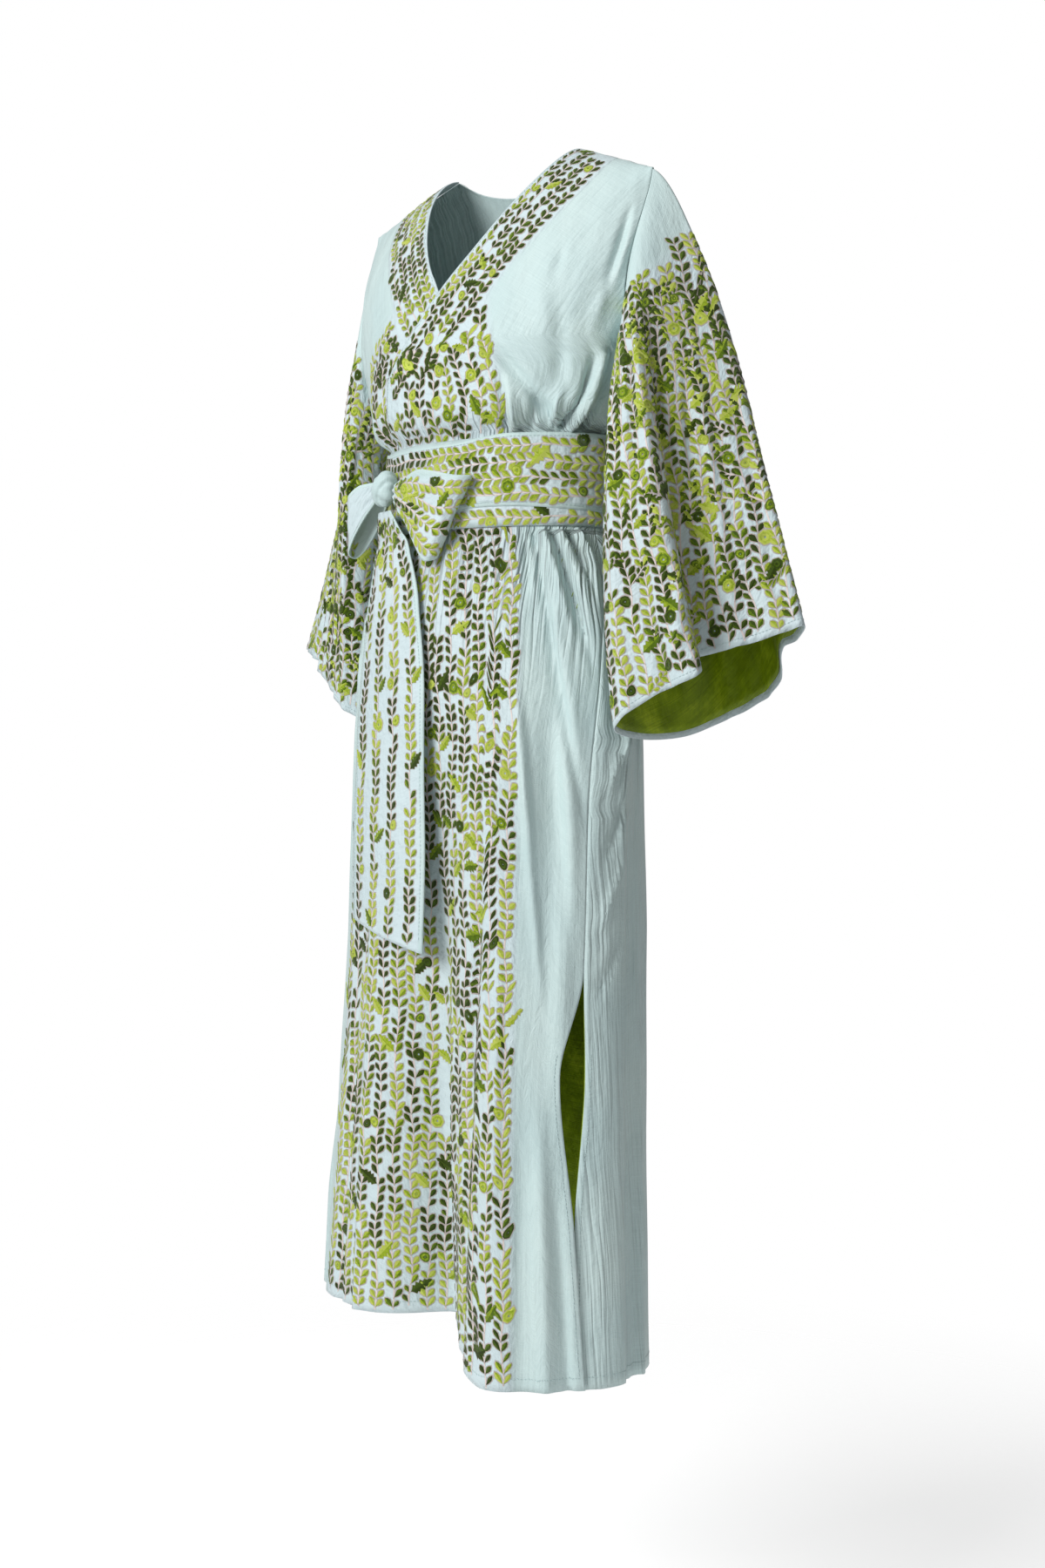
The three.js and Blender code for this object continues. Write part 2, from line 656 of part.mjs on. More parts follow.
// One row per stretch of a loop, out along the sash at its back and home again at its front.
const loops = {
  left: [
    { way: 0.0, angle: -19.5, slant: 0, out: 7.8, top: -358, bottom: -376 },
    { way: 0.22, angle: -8, slant: -2, out: 7.6, top: -350, bottom: -400 },
    { way: 0.42, angle: 14, slant: -6, out: 8.5, top: -350, bottom: -440 },
    { way: 0.5, angle: 20.5, slant: -9, out: 16, top: -354, bottom: -452 },
    { way: 0.58, angle: 15, slant: -7, out: 25, top: -354, bottom: -456 },
    { way: 0.78, angle: -6, slant: -4, out: 24, top: -350, bottom: -424 },
    { way: 1.0, angle: -20, slant: 0, out: 19, top: -358, bottom: -380 },
  ],
  right: [
    { way: 0.0, angle: -38.8, slant: 0, out: 5.6, top: -356, bottom: -376 },
    { way: 0.22, angle: -47, slant: -1, out: 12, top: -356, bottom: -400 },
    { way: 0.42, angle: -55, slant: -3, out: 32, top: -366, bottom: -432 },
    { way: 0.5, angle: -57, slant: -4, out: 45, top: -372, bottom: -440 },
    { way: 0.58, angle: -53, slant: -3, out: 51, top: -370, bottom: -436 },
    { way: 0.78, angle: -46, slant: -1, out: 37, top: -358, bottom: -404 },
    { way: 1.0, angle: -40, slant: 0, out: 22, top: -356, bottom: -380 },
  ],
};

function loopPoint(rows, way, across) {
  const slant = readTable(rows, 'way', 'slant', way) * across;
  const angle = readTable(rows, 'way', 'angle', way) + slant;
  const top = readTable(rows, 'way', 'top', way);
  const bottom = readTable(rows, 'way', 'bottom', way);
  const z = mix(top, bottom, across);
  const waist = THREE.MathUtils.clamp(z, sashBottomZ, sashTopZ);
  const point = sashFrame(angle, waist, readTable(rows, 'way', 'out', way));
  point.z = z;
  return point;
}

function loopGeometry(rows) {
  return shell(16, 4, false, (way, across, inside) => {
    const point = loopPoint(rows, way, across);
    const along = loopPoint(rows, Math.min(1, way + 0.01), across)
      .sub(loopPoint(rows, Math.max(0, way - 0.01), across));
    const down = loopPoint(rows, way, Math.min(1, across + 0.05))
      .sub(loopPoint(rows, way, Math.max(0, across - 0.05)));
    return point.addScaledVector(along.cross(down).normalize(), inside * sashWall);
  });
}

for (const side of ['left', 'right']) {
  addPiece(`bow_loop_${side}`, loopGeometry(loops[side]), colours.embroidered);
}

// One row per level of the tail: its two edges and how far it hangs clear of the skirt's plain form.
const tailSections = [
  { z: -393, from: -92, to: -60, out: 20 },
  { z: -410, from: -103, to: -48, out: 18 },
  { z: -440, from: -110, to: -28, out: 14 },
  { z: -500, from: -116, to: -4, out: 8 },
  { z: -600, from: -119, to: 14, out: 3.6 },
  { z: -760, from: -119, to: 24, out: 3.0 },
  { z: -887, from: -119, to: 26, out: 3.0 },
];

addPiece('sash_tail', shell(12, 6, false, (down, across, inside) => {
  const z = mix(tailSections[0].z, mix(tailEndZ.inner, tailEndZ.tip, across), down);
  const x = mix(readTable(tailSections, 'z', 'from', z), readTable(tailSections, 'z', 'to', z), across);
  const out = readTable(tailSections, 'z', 'out', z);
  const drop = dropAt(z);
  return clothPoint(drop, angleOfX(drop, x), out - inside * sashWall, false);
}), colours.embroidered);

export default kaftan;
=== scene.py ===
import bmesh
import bpy
import math
import random
import numpy as np
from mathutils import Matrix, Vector


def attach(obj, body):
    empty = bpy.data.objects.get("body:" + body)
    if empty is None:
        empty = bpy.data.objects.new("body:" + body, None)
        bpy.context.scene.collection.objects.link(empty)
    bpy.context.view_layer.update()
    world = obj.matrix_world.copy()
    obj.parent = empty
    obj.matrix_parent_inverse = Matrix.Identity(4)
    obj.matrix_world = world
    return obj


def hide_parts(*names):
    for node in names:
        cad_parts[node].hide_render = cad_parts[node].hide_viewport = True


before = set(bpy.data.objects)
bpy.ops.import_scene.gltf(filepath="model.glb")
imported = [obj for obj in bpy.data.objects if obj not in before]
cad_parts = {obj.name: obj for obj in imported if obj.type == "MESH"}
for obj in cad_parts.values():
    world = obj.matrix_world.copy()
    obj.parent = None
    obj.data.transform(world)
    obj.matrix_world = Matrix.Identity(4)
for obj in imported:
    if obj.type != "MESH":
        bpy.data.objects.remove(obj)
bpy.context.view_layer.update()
mm = 0.001
print("frame loaded")

# reading tables


def table(names, *rows):
    return dict(zip(names.split(), np.array(rows, float).T))


def mix(start, end, share):
    return start + (end - start) * share


def ease(low, high, value):
    share = np.clip((value - low) / (high - low), 0, 1)
    return share * share * (3 - 2 * share)


def unit(vectors):
    return vectors / np.linalg.norm(vectors, axis=-1, keepdims=True)


def hermite(places, values, tangents, at):
    row = np.clip(np.searchsorted(places, at, side="right") - 1, 0, len(places) - 2)
    span = places[row + 1] - places[row]
    t = (at - places[row]) / span
    square, cube = t * t, t * t * t
    return ((2 * cube - 3 * square + 1) * values[row] + (cube - 2 * square + t) * span * tangents[row]
            + (3 * square - 2 * cube) * values[row + 1] + (cube - square) * span * tangents[row + 1])


def readTable(rows, position, column, value):  # smooth, never past its rows
    way = np.sign(rows[position][1] - rows[position][0])
    places, values = rows[position] * way, rows[column]
    slopes = np.diff(values) / np.diff(places)
    tangents = np.concatenate([slopes[:1], np.zeros(len(values) - 2), slopes[-1:]])
    product, total = slopes[:-1] * slopes[1:], slopes[:-1] + slopes[1:]
    tangents[1:-1] = np.where(product > 0, 2 * product / np.where(total == 0, 1, total), 0)
    return hermite(places, values, tangents, np.clip(value * way, places[0], places[-1]))


def readLoop(rows, column, share):  # smooth and closed round one turn
    places = np.concatenate([rows["share"] - 1, rows["share"], rows["share"] + 1])
    values = np.tile(rows[column], 3)
    tangents = np.gradient(values)
    tangents[1:-1] = (values[2:] - values[:-2]) / (places[2:] - places[:-2])
    return hermite(places, values, tangents, share % 1.0)


# the garment's form, in millimetres

form = {
    "clothWall": 1.2, "liningWall": 1.0, "sashWall": 2.0, "seamGap": 0.45, "seamLine": 0.12, "armholeGap": 0.3,
    "neckX": 100, "neckY": 19, "neckZ": 12, "shoulderX": 224, "shoulderY": 0, "shoulderZ": -37,
    "underarmZ": -238, "underarmDrop": 250, "shoulderSeam": 0.8, "armholeBow": 18, "backNeck": 26,
    "crossDrop": 177, "crossX": -8, "crossCurve": 1.35, "overlapX": -80, "wrapDepth": 3.3,
    "hemZ": -1337, "hemLift": 45, "liningTop": -398, "liningHemRise": 22,
    "sashTop": -321, "sashBottom": -420, "sashClear": 1.0, "lap": 8 / 17, "lapLeast": 0.3,
}
bodySections = table(
    "z centre halfWidth front back",
    (-238, 0, 197, 124, 104), (-280, -3, 187, 122, 103), (-303, -5, 172, 115, 100), (-318, -5, 155, 105, 97),
    (-421, -5, 155, 105, 97), (-450, -7, 167, 109, 100), (-530, -14, 189, 117, 107), (-650, -20, 202, 122, 111),
    (-900, -26, 206, 126, 113), (-1110, -32, 211, 130, 116), (-1337, -38, 220, 134, 119))
bodyFolds = [  # angle, foot, width, height, top, full, end
    (6, 5, 13.5, -80, -470, -1337, -1500), (32, 38, 12, 13, -560, -1337, -1500),
    (-40, -44, 13, 6, -900, -1337, -1500), (42, 54, 4, -6, -430, -620, -1090), (60, 70, 4, 6, -426, -470, -640),
    (68, 76, 4, 5, -426, -480, -760), (-47, -52, 4.5, -6, -428, -600, -1010),
    (-62, -70, 4.5, 6, -426, -480, -700), (104, 101, 8, -9, -440, -900, -1500),
    (128, 124, 9, 8, -440, -860, -1500), (152, 150, 8, -10, -440, -980, -1500),
    (176, 178, 9, 7, -440, -800, -1500), (200, 204, 8, -9, -440, -940, -1500),
    (226, 232, 9, 8, -440, -880, -1500), (250, 257, 8, -8, -440, -1000, -1500),
    (49, 49, 4.5, -7, -244, -296, -318), (66, 66, 4, 6, -248, -296, -318),
    (-52, -52, 4.5, -7, -244, -296, -318), (-68, -68, 4, 6, -248, -296, -318),
    (118, 118, 6, 6, -240, -294, -318), (146, 146, 6, -6, -240, -294, -318), (172, 172, 6, 6, -240, -294, -318),
    (198, 198, 6, -6, -240, -294, -318), (226, 226, 6, 6, -240, -294, -318),
]
sideEdges = {
    "left": table("z front back", (-238, 90, 90), (-424, 84, 84), (-560, 76, 76), (-720, 69.5, 69.5),
                  (-898, 68, 68), (-1010, 58.5, 69), (-1166, 64.5, 65), (-1337, 69, 64.5)),
    "right": table("z front back", (-238, 90, 90), (-424, 85, 85), (-560, 79, 79), (-720, 74, 74),
                   (-880, 72, 72), (-1020, 65, 73), (-1190, 69.5, 70), (-1337, 73, 69)),
}


def sinDegrees(angle):
    return np.sin(np.radians(angle))


def turned(angle):
    return (angle + 540) % 360 - 180


def armholeAngle(drop):
    share = np.clip(drop / form["underarmDrop"], 0, 1)
    return 90 - form["armholeBow"] * np.sin(np.pi * share) ** 0.8


def armholeWidth(drop):
    share = np.clip(drop / form["underarmDrop"], 0, 1)
    return mix(form["shoulderX"], bodySections["halfWidth"][0], share * share)


def yokePoint(drop, angle):
    share = np.clip(drop / form["underarmDrop"], 0, 1)
    ahead = np.cos(np.radians(angle))
    atFront = ahead >= 0
    x = armholeWidth(drop) / sinDegrees(armholeAngle(drop)) * sinDegrees(angle)
    ridge = np.maximum(0, (np.abs(x) - form["neckX"]) / (form["shoulderX"] - form["neckX"]))
    ridgeY = mix(form["neckY"], form["shoulderY"], ridge)
    chestY = -np.where(atFront, bodySections["front"][0], bodySections["back"][0]) * ahead
    fall = np.where(atFront, (1 - (1 - share) ** 1.6) ** 0.62, np.sqrt(1 - (1 - share) ** 2))
    part = np.where(atFront, -form["shoulderSeam"], form["shoulderSeam"])
    y = mix(ridgeY + part * (1 - share), chestY, fall)
    z = mix(mix(form["neckZ"], form["shoulderZ"], ridge), form["underarmZ"], share)
    return np.stack([x, y, z + 0 * x], -1)


def foldHeight(z, angle):
    height = 0 * (z + angle)
    for top, foot, width, size, start, full, end in bodyFolds:
        way = np.clip((start - z) / (start - full), 0, 1)
        away = turned(angle - mix(top, foot, ease(0, 1, way)))
        rise = way ** 1.3
        if end > form["hemZ"]:
            rise = rise * (1 - ease(-full, -end, -z))
        height = height + size * rise * np.exp(-(away / width) ** 2)
    return height


def sectionPoint(z, angle, folded):
    halfWidth = readTable(bodySections, "z", "halfWidth", z)
    side, ahead = sinDegrees(angle), np.cos(np.radians(angle))
    front, back = readTable(bodySections, "z", "front", z), readTable(bodySections, "z", "back", z)
    depth = np.where(ahead >= 0, front, back)
    centre = readTable(bodySections, "z", "centre", z)
    faceX, faceY = side / halfWidth, -ahead / depth
    size = np.hypot(faceX, faceY)
    height = foldHeight(z, angle) if folded else 0
    lift = 0
    if folded:
        raised = ease(-34, -4, -turned(angle)) * ease(-140, -70, turned(angle))
        lift = form["hemLift"] * raised * ease(620, -form["hemZ"], -z) ** 1.4
    return np.stack([halfWidth * side + faceX / size * height,
                     centre - depth * ahead + faceY / size * height, z + lift + 0 * side], -1)


def bodyPoint(drop, angle, folded=True):
    z = np.minimum(form["underarmZ"] - (drop - form["underarmDrop"]), form["underarmZ"])
    above = (drop < form["underarmDrop"])[..., None]
    return np.where(above, yokePoint(np.maximum(drop, 0), angle), sectionPoint(z, angle, folded))


def clothNormal(drop, angle, folded=True):
    down = bodyPoint(drop + 1.5, angle, folded) - bodyPoint(drop - 1.5, angle, folded)
    across = bodyPoint(drop, angle + 0.5, folded) - bodyPoint(drop, angle - 0.5, folded)
    normal = np.cross(down, across)
    normal[..., 1] = np.where(drop <= 0, 0, normal[..., 1])
    return unit(normal)


def dropAt(z):
    return form["underarmDrop"] + (form["underarmZ"] - z)


def heightAt(drop):
    return form["underarmZ"] - (drop - form["underarmDrop"])


def angleOfX(drop, x):
    wide = np.where(drop < form["underarmDrop"], armholeWidth(drop) / sinDegrees(armholeAngle(drop)),
                    readTable(bodySections, "z", "halfWidth", np.minimum(heightAt(drop), form["underarmZ"])))
    return np.degrees(np.arcsin(np.clip(x / wide, -1, 1)))


def neckLine(drop):  # the neckline's slant, carried on past the wrap's corner
    way = (np.maximum(drop, 0) / form["crossDrop"]) ** form["crossCurve"]
    return form["neckX"] - (form["neckX"] - form["crossX"]) * way


def wrapX(drop):
    return np.maximum(form["overlapX"], neckLine(drop))


def wrapEdge(drop):
    return angleOfX(drop, wrapX(drop))


def sideAngle(side, panel, drop):
    above = armholeAngle(drop) if panel == "front" else 180 - armholeAngle(drop)
    angle = readTable(sideEdges[side], "z", panel, heightAt(drop))
    perDegree = np.linalg.norm(bodyPoint(drop, angle + 0.5) - bodyPoint(drop, angle - 0.5), axis=-1)
    gap = form["seamLine"] / 2 / perDegree * (-1 if panel == "front" else 1)
    return np.where(drop < form["underarmDrop"], above, angle + gap)


# creases on the body: from and to as angle and height, bend in degrees, width in degrees, size

bodyCreases = [
    # chest and underarm of the left front
    (24, -213, 60.6, -318, -1, 1.9, -3.2, 0.4, 0.1), (43, -100, 44, -155, 0, 2.0, -1.1, 0.5, 0.5),
    (48.7, -176, 56.7, -290, 1, 3.6, -2.2, 0.5, 0.4), (68.6, -225, 63.2, -318, 1, 1.9, -4.4, 0.5, 0.0),
    (74, -205, 68, -318, 1, 2.1, 3.0, 0.5, 0.0), (80, -180, 75, -318, 0, 1.8, -3.8, 0.5, 0.0),
    (28.7, -240, 36.5, -318, 0, 1.8, -3.0, 0.6, 0.0), (31, -255, 40.3, -318, 1.5, 1.7, 2.8, 0.6, 0.0),
    (70.8, -30, 67.5, -190, -3, 2.4, -2.6, 0.4, 0.4), (74, -60, 64, -235, -2, 2.6, 1.8, 0.4, 0.4),
    (36, -150, 50, -235, 2, 3.0, 1.2, 0.5, 0.5), (56, -262, 57, -318, 0, 1.7, 2.2, 0.7, 0.0),
    (46, -275, 47.5, -318, 0, 1.7, -1.8, 0.7, 0.0),
    # the same on the right front
    (-58, -64, -50, -230, -3, 3.2, -2.4, 0.5, 0.6), (-70, -90, -60, -270, -2, 2.6, 2.0, 0.5, 0.4),
    (-56, -225, -60, -318, -1, 1.7, -2.8, 0.6, 0.0), (-72, -240, -70, -318, 0, 1.6, -3.0, 0.6, 0.0),
    (-80, -236, -78, -318, 0, 1.5, 2.2, 0.6, 0.0), (-40, -262, -42, -318, 0, 1.4, 1.6, 0.7, 0.0),
    # left front below the sash
    (46, -430, 62, -960, -1, 6.0, -1.9, 0.1, 0.5), (64, -560, 58, -1180, 0, 5.0, 1.7, 0.3, 0.4),
    (47, -1000, 47, -1337, 0, 4.0, -1.6, 0.5, 0.0), (49, -421, 70.4, -754, -3.2, 2.6, -3.2, 0.02, 0.4),
    (39.5, -569, 48.3, -800, 0, 1.7, 2.2, 0.3, 0.4), (58.5, -423, 74.3, -598, -0.5, 1.7, -3.0, 0.02, 0.6),
    (54, -421, 66, -570, -0.5, 1.7, 2.6, 0.02, 0.7), (67.2, -423, 77, -512, 0, 1.6, -2.8, 0.02, 0.7),
    (62.8, -421, 73, -540, 0, 1.6, 2.2, 0.02, 0.7), (73, -421, 80, -500, 0, 1.6, 2.4, 0.02, 0.7),
    (29, -640, 22, -1337, 1, 2.6, -2.6, 0.4, 0.0), (40.6, -606, 53.2, -980, 0, 1.7, 1.5, 0.3, 0.4),
    (55.3, -650, 61.6, -900, 1, 3.2, -2.2, 0.4, 0.5), (50, -980, 55, -1337, 1, 3.4, 2.2, 0.5, 0.0),
    (58, -1100, 63, -1337, 0, 2.6, -1.8, 0.6, 0.0), (14, -820, 12, -1337, 2, 2.6, 1.8, 0.5, 0.0),
    (35, -760, 36, -1250, 1, 2.0, 1.4, 0.5, 0.4), (44, -423, 45, -520, 0, 1.7, -1.6, 0.02, 0.8),
    (30, -423, 31, -600, 0, 1.8, 1.4, 0.02, 0.8), (20, -423, 20, -700, 0, 2.0, -1.4, 0.02, 0.8),
    (8, -423, 8, -640, 0, 1.8, 1.2, 0.02, 0.8),
    # right front below the sash
    (-30, -900, -32, -1337, 0, 2.4, -2.2, 0.5, 0.0), (-18, -960, -20, -1337, 0, 2.6, 1.6, 0.5, 0.0),
    (-52, -423, -60, -620, -1, 1.1, -3.0, 0.02, 0.75), (-60, -423, -68, -700, -2, 1.2, 2.4, 0.02, 0.7),
    (-66, -423, -74, -560, -1, 1.1, -3.0, 0.02, 0.8), (-73, -423, -80, -520, -1, 1.0, 2.0, 0.02, 0.8),
    (-48, -520, -54, -1040, -3, 2.2, -2.2, 0.3, 0.7), (-52, -1100, -58, -1337, -1, 3.6, 2.2, 0.6, 0.0),
    # the back above the sash
    (100, -130, 112, -300, 2, 3.0, -2.2, 0.5, 0.3), (126, -215, 128, -318, 0, 2.0, -2.6, 0.6, 0.0),
    (137, -236, 138, -318, 0, 1.8, 2.4, 0.6, 0.0), (158, -225, 157, -318, 0, 2.0, -2.4, 0.6, 0.0),
    (184, -232, 184, -318, 0, 1.9, -2.6, 0.6, 0.0), (210, -222, 209, -318, 0, 2.0, -2.4, 0.6, 0.0),
    (238, -232, 236, -318, 0, 2.0, -2.6, 0.6, 0.0), (260, -130, 248, -300, -2, 3.0, -2.2, 0.5, 0.3),
    (150, -60, 172, -150, 6, 4.0, -1.2, 0.5, 0.5),
    # the back below the sash, with the slanting wrinkles beside the left seam
    (96, -480, 79, -560, 0, 1.8, 1.5, 0.4, 0.2), (97, -560, 80, -640, 0, 1.8, -1.6, 0.4, 0.2),
    (95, -630, 78, -715, 0, 1.9, 1.7, 0.4, 0.2), (94, -700, 77, -790, 0, 1.8, -1.6, 0.4, 0.2),
    (92, -770, 75, -860, 0, 2.0, 1.6, 0.4, 0.2), (92, -850, 74, -930, 0, 1.8, -1.4, 0.4, 0.2),
    (94, -470, 90, -900, -2, 1.6, 2.6, 0.3, 0.6), (98, -600, 96, -1337, 0, 2.0, -2.4, 0.4, 0.0),
    (112, -423, 108, -760, 0, 1.4, -2.8, 0.02, 0.7), (118, -423, 116, -620, 0, 1.2, 2.2, 0.02, 0.7),
    (140, -423, 138, -820, 0, 1.6, -2.8, 0.02, 0.7), (148, -423, 146, -600, 0, 1.2, 2.2, 0.02, 0.7),
    (164, -423, 163, -780, 0, 1.5, 2.4, 0.02, 0.7), (188, -423, 190, -860, 0, 1.6, -2.8, 0.02, 0.7),
    (212, -423, 215, -700, 0, 1.4, 2.4, 0.02, 0.7), (238, -423, 242, -900, 0, 1.6, -2.6, 0.02, 0.7),
    (246, -423, 250, -620, 0, 1.2, 2.0, 0.02, 0.7), (262, -470, 268, -950, 2, 1.6, 2.4, 0.3, 0.6),
    (112, -900, 110, -1337, 0, 2.6, 2.6, 0.6, 0.0), (140, -950, 138, -1337, 0, 3.0, -2.4, 0.6, 0.0),
    (168, -900, 166, -1337, 0, 2.6, 2.2, 0.6, 0.0), (214, -930, 216, -1337, 0, 3.0, -2.4, 0.6, 0.0),
    (240, -900, 244, -1337, 0, 2.6, 2.4, 0.6, 0.0),
]
# millimetres of cloth to a degree, least width in degrees, depth, lean to one side, and whether it goes round
bodyCreased = {"scale": 3.3, "least": 1.6, "depth": 2.3, "lean": 0.9, "round": True}


def creaseHeight(z, angle, creases, look):
    scale, height = look["scale"], 0 * (z + angle)
    for fromAngle, fromZ, toAngle, toZ, bend, width, size, fadeIn, fadeOut in creases:
        start = np.array([fromAngle * scale, fromZ], float)
        way = np.array([toAngle * scale, toZ], float) - start
        long = np.hypot(*way)
        way /= long
        offX = (turned(angle - fromAngle) if look["round"] else angle - fromAngle) * scale
        offZ = z - fromZ
        along = (offX * way[0] + offZ * way[1]) / long
        share = np.clip(along, 0, 1)
        bow = bend * scale * 4 * share * (1 - share) * np.sign(way[1])
        fade = ease(1 - fadeOut, 1, along) if fadeOut > 0 else ease(1, 1.02, along)
        rise = ease(0, max(fadeIn, 0.001), along) * (1 - fade)
        place = (offX * way[1] - offZ * way[0] - bow) / (max(width, look["least"]) * scale)
        height = height + size * rise * np.exp(-place * place) * (1 + look["lean"] * place)
    return look["depth"] * height


def bodyCrease(drop, angle):
    z = heightAt(drop)
    above = ease(form["sashTop"] + 1, form["sashTop"] + 9, z)
    below = ease(-form["sashBottom"] + 1, -form["sashBottom"] + 9, -z)
    ripple = 0.5 * np.sin(angle * 0.31 + z * 0.013) * np.sin(angle * 0.17 - z * 0.021 + 1.3)
    return np.maximum(above, below) * (creaseHeight(z, angle, bodyCreases, bodyCreased) + ripple)


def clothPoint(drop, angle, out, folded=True, creased=True):
    drop, angle = np.broadcast_arrays(np.asarray(drop, float), np.asarray(angle, float))
    rise = out + (bodyCrease(drop, angle) if creased else 0)
    return bodyPoint(drop, angle, folded) + clothNormal(drop, angle, folded) * np.asarray(rise)[..., None]


# sheets: a grid of cloth with its own measured map


class Sheet:  # downs and arounds are the grid's own coordinates, points is its outer side
    def __init__(self, name, downs, arounds, points, inner, wraps=False):
        self.name, self.downs, self.arounds, self.wraps = name, downs, arounds, wraps
        self.points, self.inner = points, inner
        steps = np.linalg.norm(np.diff(points, axis=1), axis=-1)
        middle = points.shape[1] // 2
        across = np.concatenate([np.zeros((points.shape[0], 1)), np.cumsum(steps, 1)], 1)
        self.u = across - across[:, middle:middle + 1]
        falls = np.linalg.norm(np.diff(points, axis=0), axis=-1)
        self.v = -np.concatenate([np.zeros((1, points.shape[1])), np.cumsum(falls, 0)], 0)
        row, column = points.shape[0] // 2, middle
        here = points[row, column]
        facing = np.cross(points[row, column + 1] - here, points[row - 1, column] - here)
        if facing @ (here - inner[row, column]) < 0:
            self.u = -self.u

    def grid(self):  # how far down each point of the grid lies
        return self.downs[:, None] + 0 * self.arounds

    def rowAt(self, down):  # the nearest row
        return int(round(float(np.interp(down, self.downs, np.arange(len(self.downs))))))

    def flatAt(self, down, around):  # a place in the cloth's own map
        rows = len(self.downs)
        place = np.interp(down, self.downs, np.arange(rows))
        row = min(int(place), rows - 2)
        found = []
        for line in (row, row + 1):
            angles = self.arounds[line]
            found.append((np.interp(around, angles, self.u[line]), np.interp(around, angles, self.v[line])))
        share = place - row
        return tuple(mix(low, high, share) for low, high in zip(*found))


def meshFrom(name, vertices, faces, uvs=None, attributes=None):
    mesh = bpy.data.meshes.new(name)
    mesh.from_pydata([], [], [])
    mesh.vertices.add(len(vertices))
    mesh.vertices.foreach_set("co", np.asarray(vertices, np.float32).ravel())
    faces = np.asarray(faces, np.int32)
    sides = faces.shape[1]
    mesh.loops.add(faces.size)
    mesh.loops.foreach_set("vertex_index", faces.ravel())
    mesh.polygons.add(len(faces))
    mesh.polygons.foreach_set("loop_start", np.arange(0, faces.size, sides, dtype=np.int32))
    if uvs is not None:
        layer = mesh.uv_layers.new(name="clothMap")
        layer.uv.foreach_set("vector", np.asarray(uvs, np.float32)[faces.ravel()].ravel())
    for key, values in (attributes or {}).items():
        layer = mesh.attributes.new(key, "FLOAT", "POINT")
        layer.data.foreach_set("value", np.asarray(values, np.float32).ravel())
    mesh.update(calc_edges=True)
    mesh.validate()
    mesh.polygons.foreach_set("use_smooth", np.ones(len(mesh.polygons), bool))
    return mesh


def addVectors(mesh, key, vectors):
    layer = mesh.attributes.new(key, "FLOAT_VECTOR", "POINT")
    layer.data.foreach_set("vector", vectors.astype(np.float32).ravel())


def newObject(name, mesh, material=None):
    made = bpy.data.objects.new(name, mesh)
    bpy.context.collection.objects.link(made)
    if material:
        mesh.materials.append(material)
    return made


def weld(mesh):  # joins points that lie on each other
    work = bmesh.new()
    work.from_mesh(mesh)
    bmesh.ops.remove_doubles(work, verts=work.verts, dist=1e-6)
    work.to_mesh(mesh)
    work.free()


def gridFaces(rows, columns, first=0, flip=False, closed=False):
    index = first + np.arange(rows * columns).reshape(rows, columns)
    if closed:
        index = np.concatenate([index, index[:, :1]], 1)
    quads = np.stack([index[:-1, :-1], index[1:, :-1], index[1:, 1:], index[:-1, 1:]], -1).reshape(-1, 4)
    return quads[:, ::-1] if flip else quads


def facingOut(vertices, faces):
    a, b, c, d = (vertices[faces[:, i]] for i in range(4))
    volume = (np.einsum("ij,ij->i", a, np.cross(b, c)) + np.einsum("ij,ij->i", a, np.cross(c, d))).sum()
    return faces[:, ::-1] if volume < 0 else faces


def makeCloth(sheet, material, attributes=None):  # two sides and a rim, closed
    rows, columns = sheet.points.shape[:2]
    count = rows * columns
    vertices = np.concatenate([sheet.points.reshape(-1, 3), sheet.inner.reshape(-1, 3)]) * mm
    faces = [gridFaces(rows, columns), gridFaces(rows, columns, count, True)]
    index = np.arange(count).reshape(rows, columns)
    edges = [index[0, ::-1], index[-1]]
    if not sheet.wraps:
        edges += [index[:, 0], index[::-1, -1]]
    for edge in edges:
        faces.append(np.stack([edge[:-1], edge[:-1] + count, edge[1:] + count, edge[1:]], -1))
    faces = facingOut(vertices, np.concatenate(faces))
    flat = np.stack([sheet.u, sheet.v], -1).reshape(-1, 2) * mm
    values = {key: np.tile(np.asarray(value).ravel(), 2) for key, value in (attributes or {}).items()}
    mesh = meshFrom(sheet.name, vertices, faces, np.tile(flat, (2, 1)), attributes=values)
    if sheet.wraps:
        weld(mesh)
    return newObject(sheet.name, mesh, material)


# finishes


class Wire:  # a socket that can be reckoned with
    def __init__(self, tree, socket):
        self.tree, self.socket = tree, socket

    def reckon(self, operation, first, second):
        node = self.tree.nodes.new("ShaderNodeMath")
        node.operation = operation
        for place, value in enumerate((first, second)):
            feed(self.tree, node.inputs[place], value)
        return Wire(self.tree, node.outputs[0])

    def __add__(self, other):
        return self.reckon("ADD", self, other)

    def __radd__(self, other):
        return self.reckon("ADD", other, self)

    def __sub__(self, other):
        return self.reckon("SUBTRACT", self, other)

    def __mul__(self, other):
        return self.reckon("MULTIPLY", self, other)

    def __rmul__(self, other):
        return self.reckon("MULTIPLY", other, self)


def feed(tree, socket, value):
    if isinstance(value, Wire):
        tree.links.new(value.socket, socket)
    elif value is not None:
        socket.default_value = value


